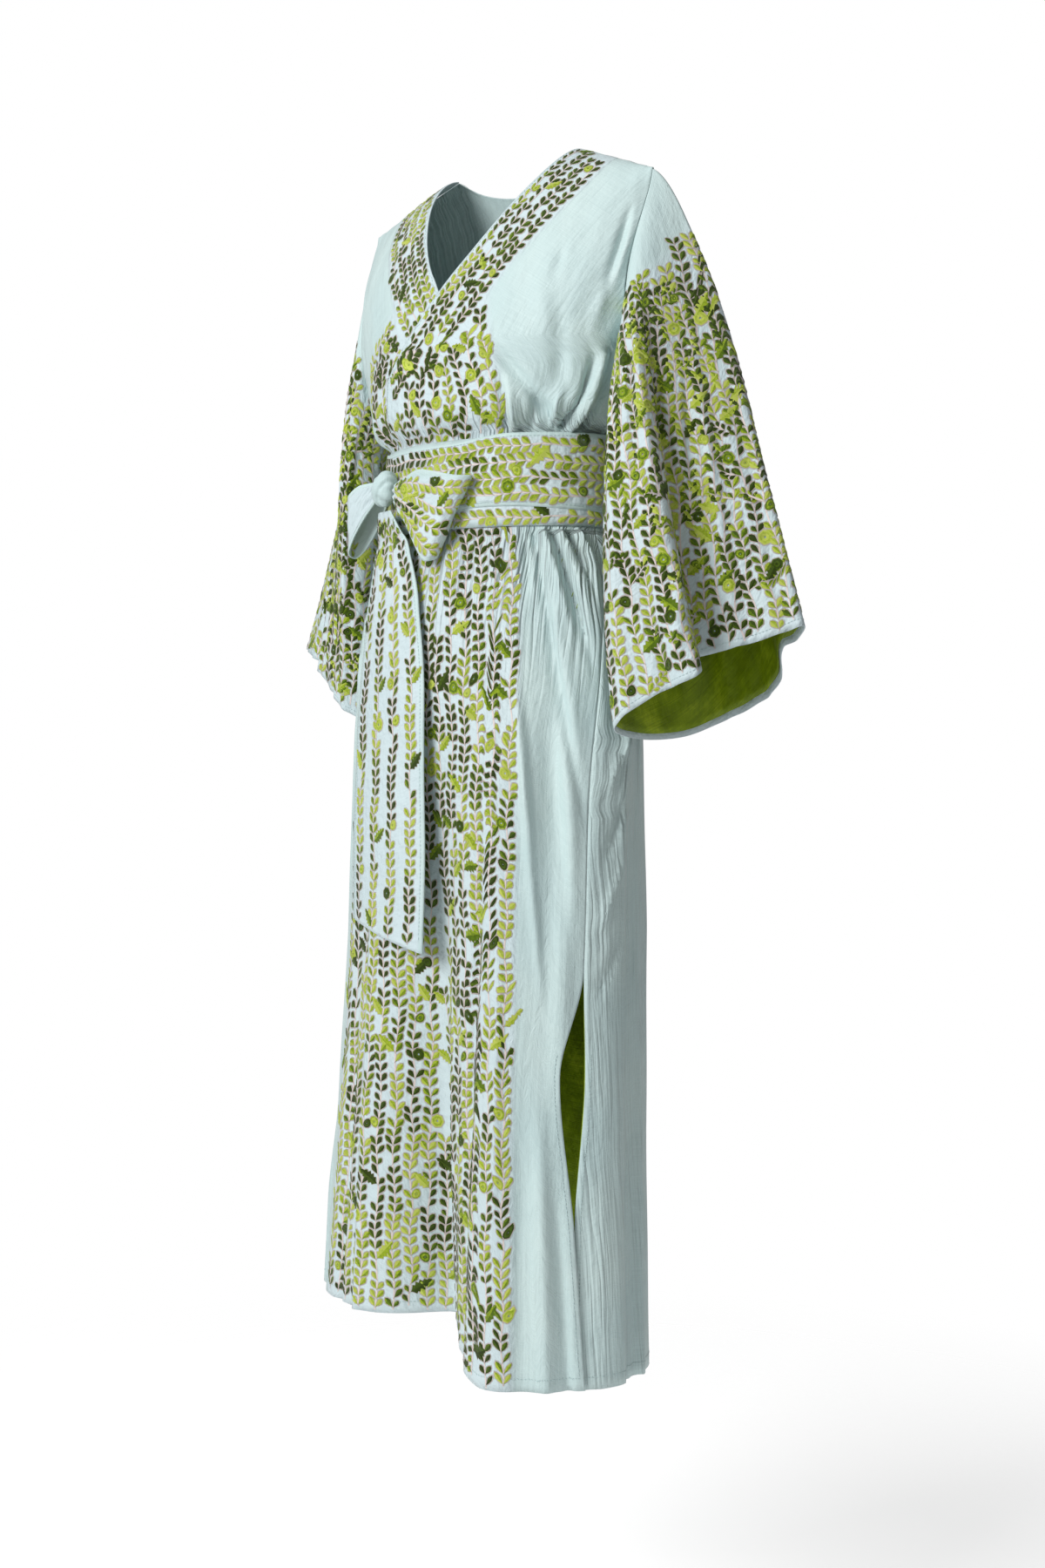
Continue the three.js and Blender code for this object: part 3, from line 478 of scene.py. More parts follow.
class Finish:
    def __init__(self, name, **constants):
        self.material = bpy.data.materials.new(name)
        self.material.use_nodes = True
        self.tree = self.material.node_tree
        self.shader = self.tree.nodes["Principled BSDF"]
        for socket, value in constants.items():
            self.shader.inputs[socket.replace("_", " ")].default_value = value

    def node(self, kind, sockets, output=0, stops=None, **settings):
        node = self.tree.nodes.new(kind)
        for setting, value in settings.items():
            setattr(node, setting, value)
        if stops:
            ramp = node.color_ramp
            while len(ramp.elements) < len(stops):
                ramp.elements.new(1.0)
            for element, (place, colour) in zip(ramp.elements, stops):
                element.position, element.color = place, colour
        for socket, value in sockets.items():
            feed(self.tree, node.inputs[socket], value)
        return Wire(self.tree, node.outputs[output])

    def ramp(self, value, *stops):
        return self.node("ShaderNodeValToRGB", {0: value}, stops=stops)

    def blend(self, share, first, second, kind="MIX"):
        sockets = {0: share, 6: first, 7: second}
        return self.node("ShaderNodeMix", sockets, output=2, data_type="RGBA", blend_type=kind)

    def mapped(self, across, along):
        place = self.node("ShaderNodeUVMap", {}, uv_map="clothMap")
        return self.node("ShaderNodeMapping", {0: place, 3: (across, along, 1)})

    def attribute(self, name):
        return self.node("ShaderNodeAttribute", {}, output=2, attribute_name=name)

    def noise(self, place, scale, detail=2.0, rough=0.5):
        sockets = {"Vector": place, "Scale": scale, "Detail": detail, "Roughness": rough}
        return self.node("ShaderNodeTexNoise", sockets)

    def clothNoise(self, across, along, detail=3.0, rough=0.5):  # so many spots to a metre each way
        return self.noise(self.mapped(across, along), 1.0, detail, rough)

    def colour(self, value):
        feed(self.tree, self.shader.inputs["Base Color"], value)

    def roughness(self, value):
        feed(self.tree, self.shader.inputs["Roughness"], value)

    def bump(self, height, distance):
        bumped = self.node("ShaderNodeBump", {"Height": height, "Distance": distance, "Strength": 1.0})
        feed(self.tree, self.shader.inputs["Normal"], bumped)


def linear(red, green, blue):  # a colour as the eye reads it, 0 to 255
    shares = [value / 255 for value in (red, green, blue)]
    return tuple(share / 12.92 if share <= 0.04045 else ((share + 0.055) / 1.055) ** 2.4 for share in shares) + (1.0,)


silkLook = {
    "shaded": linear(189, 211, 211), "lit": linear(203, 222, 220), "embroidered": linear(202, 214, 223),
    "slubAcross": 0.09, "slubAlong": 0.07, "pucker": 0.7, "gathers": 7.5, "relief": 0.0034,
}
# the lining's green: dark is its painted shade and lit its painted sheen, around the middle tone
liningLook = {"dark": linear(92, 112, 0), "middle": linear(128, 152, 4), "lit": linear(176, 196, 40), "relief": 0.0018}
white = (1, 1, 1, 1)


def wovenSilk():  # plain weave with slubs, paler where the ground carries embroidery
    cloth = Finish("wovenSilk", Sheen_Weight=0.25, Sheen_Roughness=0.4, Specular_IOR_Level=0.45)
    slubAcross, slubAlong, cloud = cloth.clothNoise(14, 900), cloth.clothNoise(1100, 10), cloth.clothNoise(9, 6)
    isWorked, gather = cloth.attribute("worked"), cloth.attribute("gather")
    tint = cloth.ramp(cloud, (0.3, silkLook["shaded"]), (0.7, silkLook["lit"]))
    threads = (slubAcross - 0.5) * 0.5 + (slubAlong - 0.5) * 0.35
    shade = cloth.ramp(threads + 0.5, (0.34, (0.84, 0.86, 0.87, 1)), (0.62, white))
    plain = cloth.blend(0.85, tint, shade, "MULTIPLY")
    cloth.colour(cloth.blend(isWorked * 0.45, plain, silkLook["embroidered"]))
    cloth.roughness(0.5 + 0.12 * cloud)
    pucker = cloth.clothNoise(110, 110, 2.0) * isWorked
    crumple, drawn = cloth.clothNoise(26, 17, 4.0, 0.6), cloth.clothNoise(30, 5, 4.0, 0.6)
    ridges = cloth.node("ShaderNodeMath", {0: cloth.clothNoise(95, 5, 2.0) - 0.5}, operation="ABSOLUTE")
    weave = slubAcross * silkLook["slubAcross"] + slubAlong * silkLook["slubAlong"] + pucker * silkLook["pucker"]
    folds = drawn * (0.25 + 0.75 * gather)
    cloth.bump(weave + crumple * 1.0 + folds + ridges * gather * silkLook["gathers"], silkLook["relief"])
    return cloth.material


def satinLining():
    cloth = Finish("satinLining", Sheen_Weight=0.05, Sheen_Roughness=0.35, Specular_IOR_Level=0.3)
    slub, cloud = cloth.clothNoise(12, 800), cloth.clothNoise(19, 13, 4.0, 0.65)
    # the colour is the weave's slub streaks plus blotches of painted satin sheen and painted shade
    cloth.colour(cloth.ramp(slub * 0.25 + cloud * 0.75, (0.34, liningLook["dark"]), (0.52, liningLook["middle"]),
                            (0.66, liningLook["lit"])))
    cloth.roughness(0.36 + 0.16 * cloud)
    cloth.bump(slub * 0.2 + cloud * 2.6, liningLook["relief"])
    return cloth.material


def plainThread():
    thread = Finish("plainThread", Roughness=0.45, Sheen_Weight=0.2)
    tone = thread.noise(thread.node("ShaderNodeTexCoord", {}, output=3), 300.0, 1.0)
    thread.colour(thread.ramp(tone, (0.3, linear(168, 192, 193)), (0.7, linear(188, 208, 208))))
    return thread.material


silk, lining, sewingThread = wovenSilk(), satinLining(), plainThread()
print("finishes ready")

# camera, light and floor

view = {"azimuth": 45, "distance": 2.35, "height": -0.640, "aside": 0.018, "lens": 46.8, "shiftY": -0.0356}
studio = {"floor": -1.75, "floorReach": 12, "middle": -0.65, "worldStrength": 0.34}
lamps = [  # name, aside, towards the camera, height, size, power
    ("key", -2.3, 2.0, 0.6, 1.5, 98), ("fill", 1.6, 2.6, -0.2, 2.0, 4),
    ("top", -0.6, 0.4, 1.9, 1.2, 9), ("rear", 0.8, -2.4, 0.3, 2.2, 5),
]


def aimedAt(obj, target):
    obj.rotation_euler = (Vector(target) - obj.location).to_track_quat("-Z", "Y").to_euler()


def setStudio():
    scene = bpy.context.scene
    turn = math.radians(view["azimuth"])
    right, back = Vector((math.cos(turn), math.sin(turn), 0)), Vector((math.sin(turn), -math.cos(turn), 0))
    camera = bpy.data.objects.new("camera", bpy.data.cameras.new("camera"))
    camera.data.lens, camera.data.sensor_width, camera.data.shift_y = view["lens"], 36, view["shiftY"]
    camera.data.sensor_fit = "AUTO"
    camera.location = back * view["distance"] + right * view["aside"] + Vector((0, 0, view["height"]))
    camera.rotation_euler = (math.radians(90), 0, turn)
    scene.collection.objects.link(camera)
    scene.camera = camera
    for name, side, away, high, size, power in lamps:
        light = bpy.data.objects.new(name, bpy.data.lights.new(name, "AREA"))
        light.data.size, light.data.energy = size, power
        light.location = right * side + back * away + Vector((0, 0, high))
        scene.collection.objects.link(light)
        aimedAt(light, (0, 0, studio["middle"]))
    world = bpy.data.worlds.new("studio")
    world.use_nodes = True
    nodes = world.node_tree.nodes
    seen, lit = nodes["Background"], nodes.new("ShaderNodeBackground")
    seen.inputs["Color"].default_value = white
    lit.inputs["Strength"].default_value = studio["worldStrength"]
    which, path = nodes.new("ShaderNodeMixShader"), nodes.new("ShaderNodeLightPath")
    for start, end in ((path.outputs["Is Camera Ray"], which.inputs[0]), (lit.outputs[0], which.inputs[1]),
                       (seen.outputs[0], which.inputs[2]), (which.outputs[0], nodes["World Output"].inputs[0])):
        world.node_tree.links.new(start, end)
    scene.world = world
    scene.view_settings.view_transform = "Standard"
    far = studio["floorReach"]
    corners = [(x, y, studio["floor"]) for x, y in ((-far, -far), (far, -far), (far, far), (-far, far))]
    floor = bpy.data.objects.new("floor", meshFrom("floor", corners, [(0, 1, 2, 3)]))
    paint = Finish("paleFloor", Roughness=0.9, Specular_IOR_Level=0.1, Emission_Color=white, Emission_Strength=0.45)
    place = paint.node("ShaderNodeTexCoord", {}, output=3)
    paint.colour(paint.ramp(paint.noise(place, 3.0), (0.0, (0.93, 0.93, 0.93, 1)), (1.0, (0.96, 0.96, 0.96, 1))))
    level = paint.node("ShaderNodeVectorMath", {0: place, 1: (1, 1, 0)}, operation="MULTIPLY")
    away = paint.node("ShaderNodeVectorMath", {0: level}, output=1, operation="LENGTH")
    fade = paint.ramp(away * 0.5, (0.4, white), (0.85, (0, 0, 0, 1)))  # so that no horizon shows
    feed(paint.tree, paint.shader.inputs["Alpha"], fade)
    floor.data.materials.append(paint.material)
    scene.collection.objects.link(floor)


setStudio()
print("studio set")

# fronts, back and skirt lining

panel = {
    "yokeRows": 38, "bodiceRows": 16, "sashRows": 8, "skirtRows": 116, "frontColumns": 92, "backColumns": 112,
    "neckShare": 0.36, "sideShare": 1 / 3, "liningShare": 0.5, "liningIn": 1.7, "bandWidth": 65,
}
gathering = {"above": 24, "below": 110, "power": 1.4, "leastFront": 0.05, "leastBack": 0.26}
tuck = {"fromAngle": 77, "toAngle": 71, "fromZ": -1110, "toZ": -1160, "depth": 3.1}
bandBorder = table(
    "z left right", (-120, 18, 18), (-173, 21.3, 24), (-215, 25.5, 40), (-256, 30.4, 48), (-332, 37, 50),
    (-421, 41.7, 44), (-636, 41, 41), (-975, 41.7, 41.7), (-1337, 43.1, 43.1))


def panelDrops(rowShare=1.0, fromZ=None, toZ=None):
    yoke = form["underarmDrop"] * (np.arange(panel["yokeRows"]) / panel["yokeRows"]) ** 1.7
    skirt = np.linspace(0, 1, int(panel["skirtRows"] * rowShare) + 1) ** 1.15
    levels = np.concatenate([
        np.linspace(form["underarmZ"], form["sashTop"] + 1, panel["bodiceRows"]),
        np.linspace(form["sashTop"], form["sashBottom"], panel["sashRows"]),
        mix(form["sashBottom"], form["hemZ"], skirt)[1:]])
    drops = np.concatenate([yoke, dropAt(levels)])
    if fromZ is not None:
        drops = drops[(drops > dropAt(fromZ) + 1) & (drops < dropAt(toZ) - 1)]
        drops = np.concatenate([[dropAt(fromZ)], drops, [dropAt(toZ)]])
    return drops


def frontAngles(side, drops, columns):
    across = np.linspace(0, 1, columns)[None]
    drops = drops[:, None]
    inner, outer = wrapEdge(drops), sideAngle(side, "front", drops)
    middle = np.maximum(-inner, mix(inner, outer, form["lapLeast"]))
    lap = form["lap"]
    beyond = mix(middle, outer, (across - lap) / (1 - lap))
    return np.where(across < lap, mix(inner, middle, across / lap), beyond)


def frontSheet(name, side, drops, columns, outer, wall):
    angles = frontAngles(side, drops, columns)
    down = drops[:, None] + 0 * angles
    sign = 1 if side == "left" else -1
    under = 0
    if side == "right":
        under = -form["wrapDepth"] * ease(0, 1, (sign * angles - wrapEdge(down) + 13) / 8)
    points = clothPoint(down, sign * angles, under + outer)
    return Sheet(name, drops, angles, points, clothPoint(down, sign * angles, under + outer - wall))


def backAngles(drops, columns):
    across = np.linspace(0, 1, columns)[None]
    drops = drops[:, None]
    start, end = sideAngle("left", "back", drops), 360 - sideAngle("right", "back", drops)
    neck, side = panel["neckShare"], panel["sideShare"]
    share = np.where(across < side, across / side * neck,
                     np.where(across > 1 - side, 1 - (1 - across) / side * neck,
                              mix(neck, 1 - neck, (across - side) / (1 - 2 * side))))
    return mix(start, end, share)


def backSheet(name, drops, columns, outer, wall):
    angles = backAngles(drops, columns)
    down = drops[:, None] + 0 * angles
    x = yokePoint(0 * angles, angles)[..., 0]
    reach = np.sqrt(np.maximum(0, 1 - (x / form["neckX"]) ** 2))
    scooped = down + form["backNeck"] * reach * np.maximum(0, 1 - down / form["underarmDrop"])
    near = ease(-tuck["fromAngle"], -tuck["toAngle"], -np.abs(turned(angles)))
    setIn = -tuck["depth"] * near * ease(-tuck["fromZ"], -tuck["toZ"], -heightAt(down))
    return Sheet(name, drops, angles, clothPoint(scooped, angles, setIn + outer),
                 clothPoint(scooped, angles, setIn + outer - wall))


def neckDistance(x, drop):  # how far a place lies from the neckline's own edge, along the cloth
    trail = np.linspace(0, 420, 150)
    edgeX = neckLine(trail)
    gaps = np.hypot(x[..., None] - edgeX, drop[..., None] - trail)
    return gaps.min(-1)


def workedGround(sheet, side):  # 1 where the cloth is embroidered
    down = sheet.grid()
    x = sheet.points[..., 0] * (1 if side == "left" else -1)
    inside = ease(-1.5, 1.5, readTable(bandBorder, "z", side, heightAt(down)) - sheet.arounds)
    belowCross = ease(form["crossDrop"] - 12, form["crossDrop"] + 6, down)
    wide = panel["bandWidth"]
    return np.maximum(inside * belowCross, 1 - ease(wide, wide + 4, neckDistance(x, down)))


def gatherOf(sheet, least):  # where the sash draws the cloth in
    z, power = heightAt(sheet.grid()), gathering["power"]
    above = np.maximum(0, z - form["sashTop"]) / gathering["above"]
    below = np.maximum(0, form["sashBottom"] - z) / gathering["below"]
    return np.maximum(np.exp(-above ** power - below ** power), least)


sheets, pieces = {}, {}
wholeDrops = panelDrops()
liningDrops = panelDrops(panel["liningShare"], form["liningTop"], form["hemZ"] + form["liningHemRise"])
liningOut = -form["clothWall"] - form["seamGap"]
skirtLiningOut = liningOut - panel["liningIn"]
for side in ("left", "right"):
    sheet = frontSheet(f"front_{side}_cloth", side, wholeDrops, panel["frontColumns"], 0, form["clothWall"])
    sheets[f"front_{side}"] = sheet
    ground = {"worked": workedGround(sheet, side), "gather": gatherOf(sheet, gathering["leastFront"])}
    pieces[f"front_{side}"] = makeCloth(sheet, silk, ground)
    inner = frontSheet(f"skirt_lining_{side}_cloth", side, liningDrops, panel["frontColumns"], skirtLiningOut,
                       form["liningWall"])
    pieces[f"skirt_lining_{side}"] = makeCloth(inner, lining)
sheets["back"] = backSheet("back_cloth", wholeDrops, panel["backColumns"], 0, form["clothWall"])
pieces["back"] = makeCloth(sheets["back"], silk, {"gather": gatherOf(sheets["back"], gathering["leastBack"])})
inner = backSheet("skirt_lining_back_cloth", liningDrops, panel["backColumns"], skirtLiningOut, form["liningWall"])
pieces["skirt_lining_back"] = makeCloth(inner, lining)
print("panels and skirt lining made")

# sleeves

sleeveMouths = {
    "left": table("share x y z", (0.03, 240, -80, -640), (0.11, 294, -76, -606), (0.19, 341, -66, -587),
            (0.235, 330, -46, -578),
                  (0.28, 298, -33, -571), (0.34, 322, -14, -562), (0.42, 362, 4, -551), (0.5, 404, 28, -535),
                          (0.555, 378, 52, -548),
                  (0.61, 352, 60, -560), (0.67, 333, 82, -590), (0.76, 292, 86, -617), (0.84, 248, 78, -636),
                          (0.91, 226, 44, -650),
                  (0.965, 224, -20, -652)),
    "right": table("share x y z", (0.03, 228, -34, -626), (0.11, 262, -40, -604), (0.19, 294, -24, -584),
            (0.26, 310, -22, -572),
                   (0.34, 334, -2, -558), (0.42, 366, 8, -546), (0.5, 398, 28, -537), (0.57, 374, 58, -548),
                           (0.66, 332, 72, -570),
                   (0.74, 300, 90, -590), (0.83, 254, 82, -612), (0.91, 230, 50, -626), (0.97, 222, 0, -630)),
}
sleeveStarts = {
    "left": table("share x y z outX outY", (0, 46, -60, -150, -6, -16), (0.08, 66, -64, -140, -8, -26),
            (0.25, 120, -44, -80, 0, -8),
                  (0.5, 110, 24, -70, 2, 12), (0.62, 122, 54, -70, 4, 12), (0.75, 122, 52, -90, 2, 6),
                          (0.88, 70, 40, -130, 0, 0)),
    "right": table("share x y z outX outY", (0, 40, -40, -150, 0, -8), (0.12, 60, -50, -140, -6, -14),
            (0.25, 84, -30, -110, -8, 0),
                   (0.5, 70, 20, -110, -6, 14), (0.75, 110, 50, -90, 4, 10), (0.88, 66, 40, -130, 0, 0)),
}
sleeveForm = {
    "cloth": {"rows": 92, "columns": 144, "top": 0, "bottom": 1},
    "lining": {"rows": 56, "columns": 96, "top": 0.11, "bottom": 0.985, "in": 0.4},
}
sleeveCreased = {"scale": 1.0, "least": 1.2, "depth": 1.5, "lean": 0.9, "round": False}
# from and to as hundredths of the turn and of the way down, bend, width, size, and where it fades in and out
sleeveCreases = [
    (17.3, 24, 13.3, 62, 0, 1.3, -3.0, 0.3, 0.4), (20, 10, 17, 70, 0.5, 1.5, 2.2, 0.4, 0.4),
    (30.9, 42, 24, 66, 0, 1.2, -2.8, 0.4, 0.4), (36.7, 46, 33, 72, 0, 1.2, -2.8, 0.4, 0.4),
    (40, 30, 38, 100, 0, 1.5, 2.4, 0.5, 0.0), (21.2, 74, 14, 97, 0.5, 1.3, 2.4, 0.4, 0.3),
    (12, 68, 12.9, 100, 0, 1.3, -3.0, 0.4, 0.0), (8, 14, 6, 100, 1, 1.4, 2.4, 0.4, 0.0),
    (27, 60, 27.5, 100, 0, 1.4, 2.6, 0.4, 0.0), (46, 44, 46.5, 100, 0.2, 1.4, -2.2, 0.5, 0.0),
    (50, 22, 52, 74, 0.3, 1.4, 2.0, 0.4, 0.4), (58, 30, 58, 100, 0.4, 1.5, -2.6, 0.5, 0.0),
    (70, 10, 72, 100, 0.6, 1.6, 2.6, 0.4, 0.0), (80, 12, 80, 100, 0.6, 1.5, -2.8, 0.4, 0.0),
    (90, 14, 90, 90, 0.6, 1.5, 2.4, 0.4, 0.2),
]


def armholePoint(share):
    atFront = share <= 0.5
    drop = form["underarmDrop"] * np.abs(1 - 2 * share)
    angle = np.where(atFront, armholeAngle(drop), 180 - armholeAngle(drop))
    return yokePoint(drop, angle)


def sleeveRail(side, along, share):
    turn = share % 1.0
    start = armholePoint(turn) + np.array([form["armholeGap"], 0, -form["armholeGap"]])
    mouth = np.stack([readLoop(sleeveMouths[side], key, turn) for key in "xyz"], -1)
    setOff = np.stack([readLoop(sleeveStarts[side], key, turn) for key in "xyz"], -1)
    standing = 4 * along * (1 - along)
    outX, outY = (readLoop(sleeveStarts[side], key, turn) * standing for key in ("outX", "outY"))
    out = np.stack([outX, outY, 0 * standing], -1)
    square, cube = (along * along)[..., None], (along ** 3)[..., None]
    return (start * (2 * cube - 3 * square + 1) + setOff * (cube - 2 * square + along[..., None])
            + mouth * (3 * square - 2 * cube) + (mouth - start) * (cube - square) + out)


def sleevePoint(side, along, share, out):
    along, share = np.broadcast_arrays(np.asarray(along, float), np.asarray(share, float))
    outward = sleeveRail(side, np.minimum(1, along + 0.01), share) - sleeveRail(side, np.maximum(0, along - 0.01), share)
    around = sleeveRail(side, along, share + 0.004) - sleeveRail(side, along, share - 0.004)
    crease = creaseHeight(along * 100, (share % 1.0) * 100, sleeveCreases, sleeveCreased) * ease(0.0, 0.06, along)
    points = sleeveRail(side, along, share) + unit(np.cross(outward, around)) * (out + crease)[..., None]
    if side == "right":
        points = points * np.array([-1, 1, 1])
    return points


def sleeveSheet(name, side, part, out, wall):
    downs = mix(part["top"], part["bottom"], np.linspace(0, 1, part["rows"]))
    shares = np.linspace(0, 1, part["columns"])[None] + 0 * downs[:, None]
    down = downs[:, None] + 0 * shares
    outer, inner = (sleevePoint(side, down, shares, away) for away in (out, out - wall))
    return Sheet(name, downs, shares, outer, inner, True)


sleeveStart = table(
    "share along", (0.0, 0.2), (0.07, 0.12), (0.134, 0.1), (0.277, 0.176), (0.382, 0.23), (0.444, 0.245),
    (0.56, 0.245), (0.63, 0.23), (0.73, 0.176), (0.87, 0.12), (1.0, 0.2))
for side in ("left", "right"):
    sheet = sleeveSheet(f"sleeve_{side}_cloth", side, sleeveForm["cloth"], 0, form["clothWall"])
    sheets[f"sleeve_{side}"] = sheet
    begins = np.interp(sheet.arounds, sleeveStart["share"], sleeveStart["along"])
    pieces[f"sleeve_{side}"] = makeCloth(sheet, silk, {"worked": ease(-0.02, 0.05, sheet.downs[:, None] - begins)})
    inner = sleeveSheet(f"sleeve_lining_{side}_cloth", side, sleeveForm["lining"],
                        liningOut - sleeveForm["lining"]["in"], form["liningWall"])
    pieces[f"sleeve_lining_{side}"] = makeCloth(inner, lining)
print("sleeves made")

# sash, knot, loops and tail

sashForm = {
    "columns": 220,
    "over": {"rows": 24, "top": -318.5, "bottom": -401, "out": 4.6, "wall": 1.6, "dip": 7, "slope": 3},
    "under": {"rows": 16, "top": -322, "bottom": -420, "out": 2.4, "wall": 1.4, "dip": 0, "slope": 0},
}
knotForm = {"rows": 56, "columns": 72, "angle": -29, "z": -367, "width": 22, "height": 23, "depth": 15, "clear": 1.1,
            "slant": (0.75, 0.66), "band": 0.42, "size": 0.86, "bandRise": 0.13, "furrow": 0.06}
tailSections = table(
    "z from to out", (-393, -92, -60, 20), (-410, -103, -48, 18), (-440, -110, -28, 14), (-500, -116, -4, 8),
    (-600, -119, 14, 3.6), (-760, -119, 24, 3.0), (-887, -119, 26, 3.0))
tailForm = {"inner": -858, "tip": -887, "rows": 120, "columns": 40}
foldedWall = form["sashWall"] * 0.8  # the tail and the loops are thinner than the solid's sash
loopRows = {
    "left": table("way angle slant out top bottom", (0, -19.5, 0, 7.8, -358, -376), (0.22, -8, -2, 7.6, -350, -400),
                  (0.42, 15, -12, 8.5, -362, -440), (0.5, 22.5, -17, 16, -364, -452), (0.58, 17, -14, 25, -364, -456),
                  (0.78, -6, -4, 24, -360, -407), (1, -20, 0, 19, -366, -384)),
    "right": table("way angle slant out top bottom", (0, -38.8, 0, 5.6, -356, -376), (0.22, -47, -1, 12, -356, -400),
                   (0.42, -55, -3, 32, -366, -432), (0.5, -57, -4, 45, -372, -440), (0.58, -53, -3, 51, -370, -436),
                   (0.78, -46, -1, 37, -358, -404), (1, -40, 0, 22, -356, -380)),
}


def plainOut(angle, z, out):  # a place on the plain waist, moved out
    return clothPoint(dropAt(z), angle, out, folded=False, creased=False)


def sashSheet(name, part):
    across = np.linspace(0, 1, part["rows"])
    angles = np.linspace(-180, 180, sashForm["columns"])[None] + 0 * across[:, None]
    share = across[:, None] + 0 * angles
    toKnot = np.exp(-(turned(angles - knotForm["angle"]) / 34) ** 2)
    toSide = np.exp(-(turned(angles - 84) / 26) ** 2) + 0.7 * np.exp(-(turned(angles + 100) / 30) ** 2)
    gathered = 0.35 + toKnot * 0.9 + toSide
    wave = np.sin(np.pi * (share * 5 + 0.35 * np.sin(np.radians(angles * 2 + 20)) + 0.2))
    swell = np.sin(np.pi * np.clip(share, 0, 1)) ** 0.6
    front = ease(-52, -20, -np.abs(turned(angles + 12)))
    z = (mix(part["top"], part["bottom"], share) - (1 - share) * part["dip"] * front
         + share * part["slope"] * np.sin(np.radians(angles * 3)))
    out = part["out"] + swell * (1.2 + gathered * 1.15 * wave)
    around, wall = angles % 360, part["wall"]
    inner = plainOut(around, z, np.maximum(out - wall, part["out"] - wall))
    return Sheet(name, across, angles, plainOut(around, z, out), inner, True)


def loopPoint(rows, way, across):
    angle = readTable(rows, "way", "angle", way) + readTable(rows, "way", "slant", way) * across
    top, bottom = readTable(rows, "way", "top", way), readTable(rows, "way", "bottom", way)
    z = mix(top, bottom, across)
    onWaist = np.clip(z, form["sashBottom"], form["sashTop"])
    point = plainOut(angle, onWaist, readTable(rows, "way", "out", way))
    point[..., 2] = z
    return point


def loopSheet(name, side):
    rows, ways = loopRows[side], np.linspace(0, 1, 84)
    way, over = np.meshgrid(ways, np.linspace(0, 1, 34), indexing="ij")
    along = loopPoint(rows, np.minimum(1, way + 0.01), over) - loopPoint(rows, np.maximum(0, way - 0.01), over)
    down = loopPoint(rows, way, np.minimum(1, over + 0.05)) - loopPoint(rows, way, np.maximum(0, over - 0.05))
    normal = unit(np.cross(along, down))
    near = np.maximum(ease(-0.32, 0, -way), ease(0.68, 1, way))
    fan = np.sin(np.pi * over * 4.5 + 0.8) * (0.35 + 1.3 * near) + 0.5 * np.sin(over * 9 + way * 7)
    swell = np.sin(np.pi * over) ** 0.5
    inner = loopPoint(rows, way, over) - normal * (fan * swell * 0.9)[..., None]
    return Sheet(name, ways, over, inner + normal * form["sashWall"] * 0.8, inner)


def tailSheet(name):
    downs, across = np.linspace(0, 1, tailForm["rows"]), np.linspace(0, 1, tailForm["columns"])
    down, over = np.meshgrid(downs, across, indexing="ij")
    z = mix(tailSections["z"][0], mix(tailForm["inner"], tailForm["tip"], over), down)
    x = mix(readTable(tailSections, "z", "from", z), readTable(tailSections, "z", "to", z), over)
    near = ease(-0.4, 0, -down)
    atKnot = 1.6 * np.sin(over * 7 + 0.6) * near * np.sin(np.pi * over)
    wave = atKnot + 0.9 * (1 + np.sin(over * 5.2 + down * 4)) * ease(0.3, 0.6, down)
    edge = 0.8 * np.cos(down * 16 + over * 3) * ease(0.35, 0.7, down)
    out = readTable(tailSections, "z", "out", z) + 0.6 + np.maximum(wave + edge, -0.4)
    angle = angleOfX(dropAt(z), x)
    return Sheet(name, downs, over, plainOut(angle, z, out), plainOut(angle, z, out - foldedWall))


def makeKnot(material):
    rows, columns, depth, angle = (knotForm[key] for key in ("rows", "columns", "depth", "angle"))
    out = form["sashClear"] + form["sashWall"] + knotForm["clear"] + depth
    centre = plainOut(np.array(angle), np.array(knotForm["z"]), out)
    outward = plainOut(np.array(angle), np.array(knotForm["z"]), out + 1) - centre
    up = np.array([0, 0, 1.0])
    along = unit(-np.cross(up, outward))
    tilt = np.linspace(0, np.pi, rows)[:, None]
    turn = np.linspace(0, 2 * np.pi, columns, endpoint=False)[None]
    a, b, c = np.sin(tilt) * np.cos(turn), np.cos(tilt) + 0 * turn, np.sin(tilt) * np.sin(turn)
    steep, level = knotForm["slant"]
    sweep, cross = a * steep + b * level, b * steep - a * level  # the band over the knot runs slantwise
    band = np.exp(-(sweep / knotForm["band"]) ** 2)
    folds = 0.035 * np.sin(sweep * 17) * band + 0.05 * np.sin(cross * 8 + 1) * (1 - band)
    furrow = knotForm["furrow"] * np.exp(-((np.abs(sweep) - 0.5) / 0.1) ** 2)
    size = knotForm["size"] + knotForm["bandRise"] * band + folds - furrow
    place = (centre + along * (a * size * knotForm["width"])[..., None] + up * (b * size * knotForm["height"])[..., None]
             + outward * (c * np.minimum(size, 1.02) * depth)[..., None]) * mm
    vertices = place.reshape(-1, 3)
    faces = facingOut(vertices, gridFaces(rows, columns, closed=True))
    u, v = np.broadcast_arrays(turn * 0.02, tilt * 0.03)
    mesh = meshFrom("sash_knot_cloth", vertices, faces, np.stack([u, v], -1).reshape(-1, 2))
    weld(mesh)
    return newObject("sash_knot_cloth", mesh, material)


def inBorder(width, fromFirst, fromLast):  # 1 inside a plain border
    return ease(width - 1, width + 1, fromFirst) * ease(width - 1, width + 1, fromLast)


def bordered(sheet, width):  # for the sash, whose edges are its first and last rows
    return inBorder(width, -sheet.v, sheet.v - sheet.v[-1:])


def edged(sheet, width):  # for a strip, whose edges are its first and last columns
    return inBorder(width, sheet.u - sheet.u[:, :1], sheet.u[:, -1:] - sheet.u)


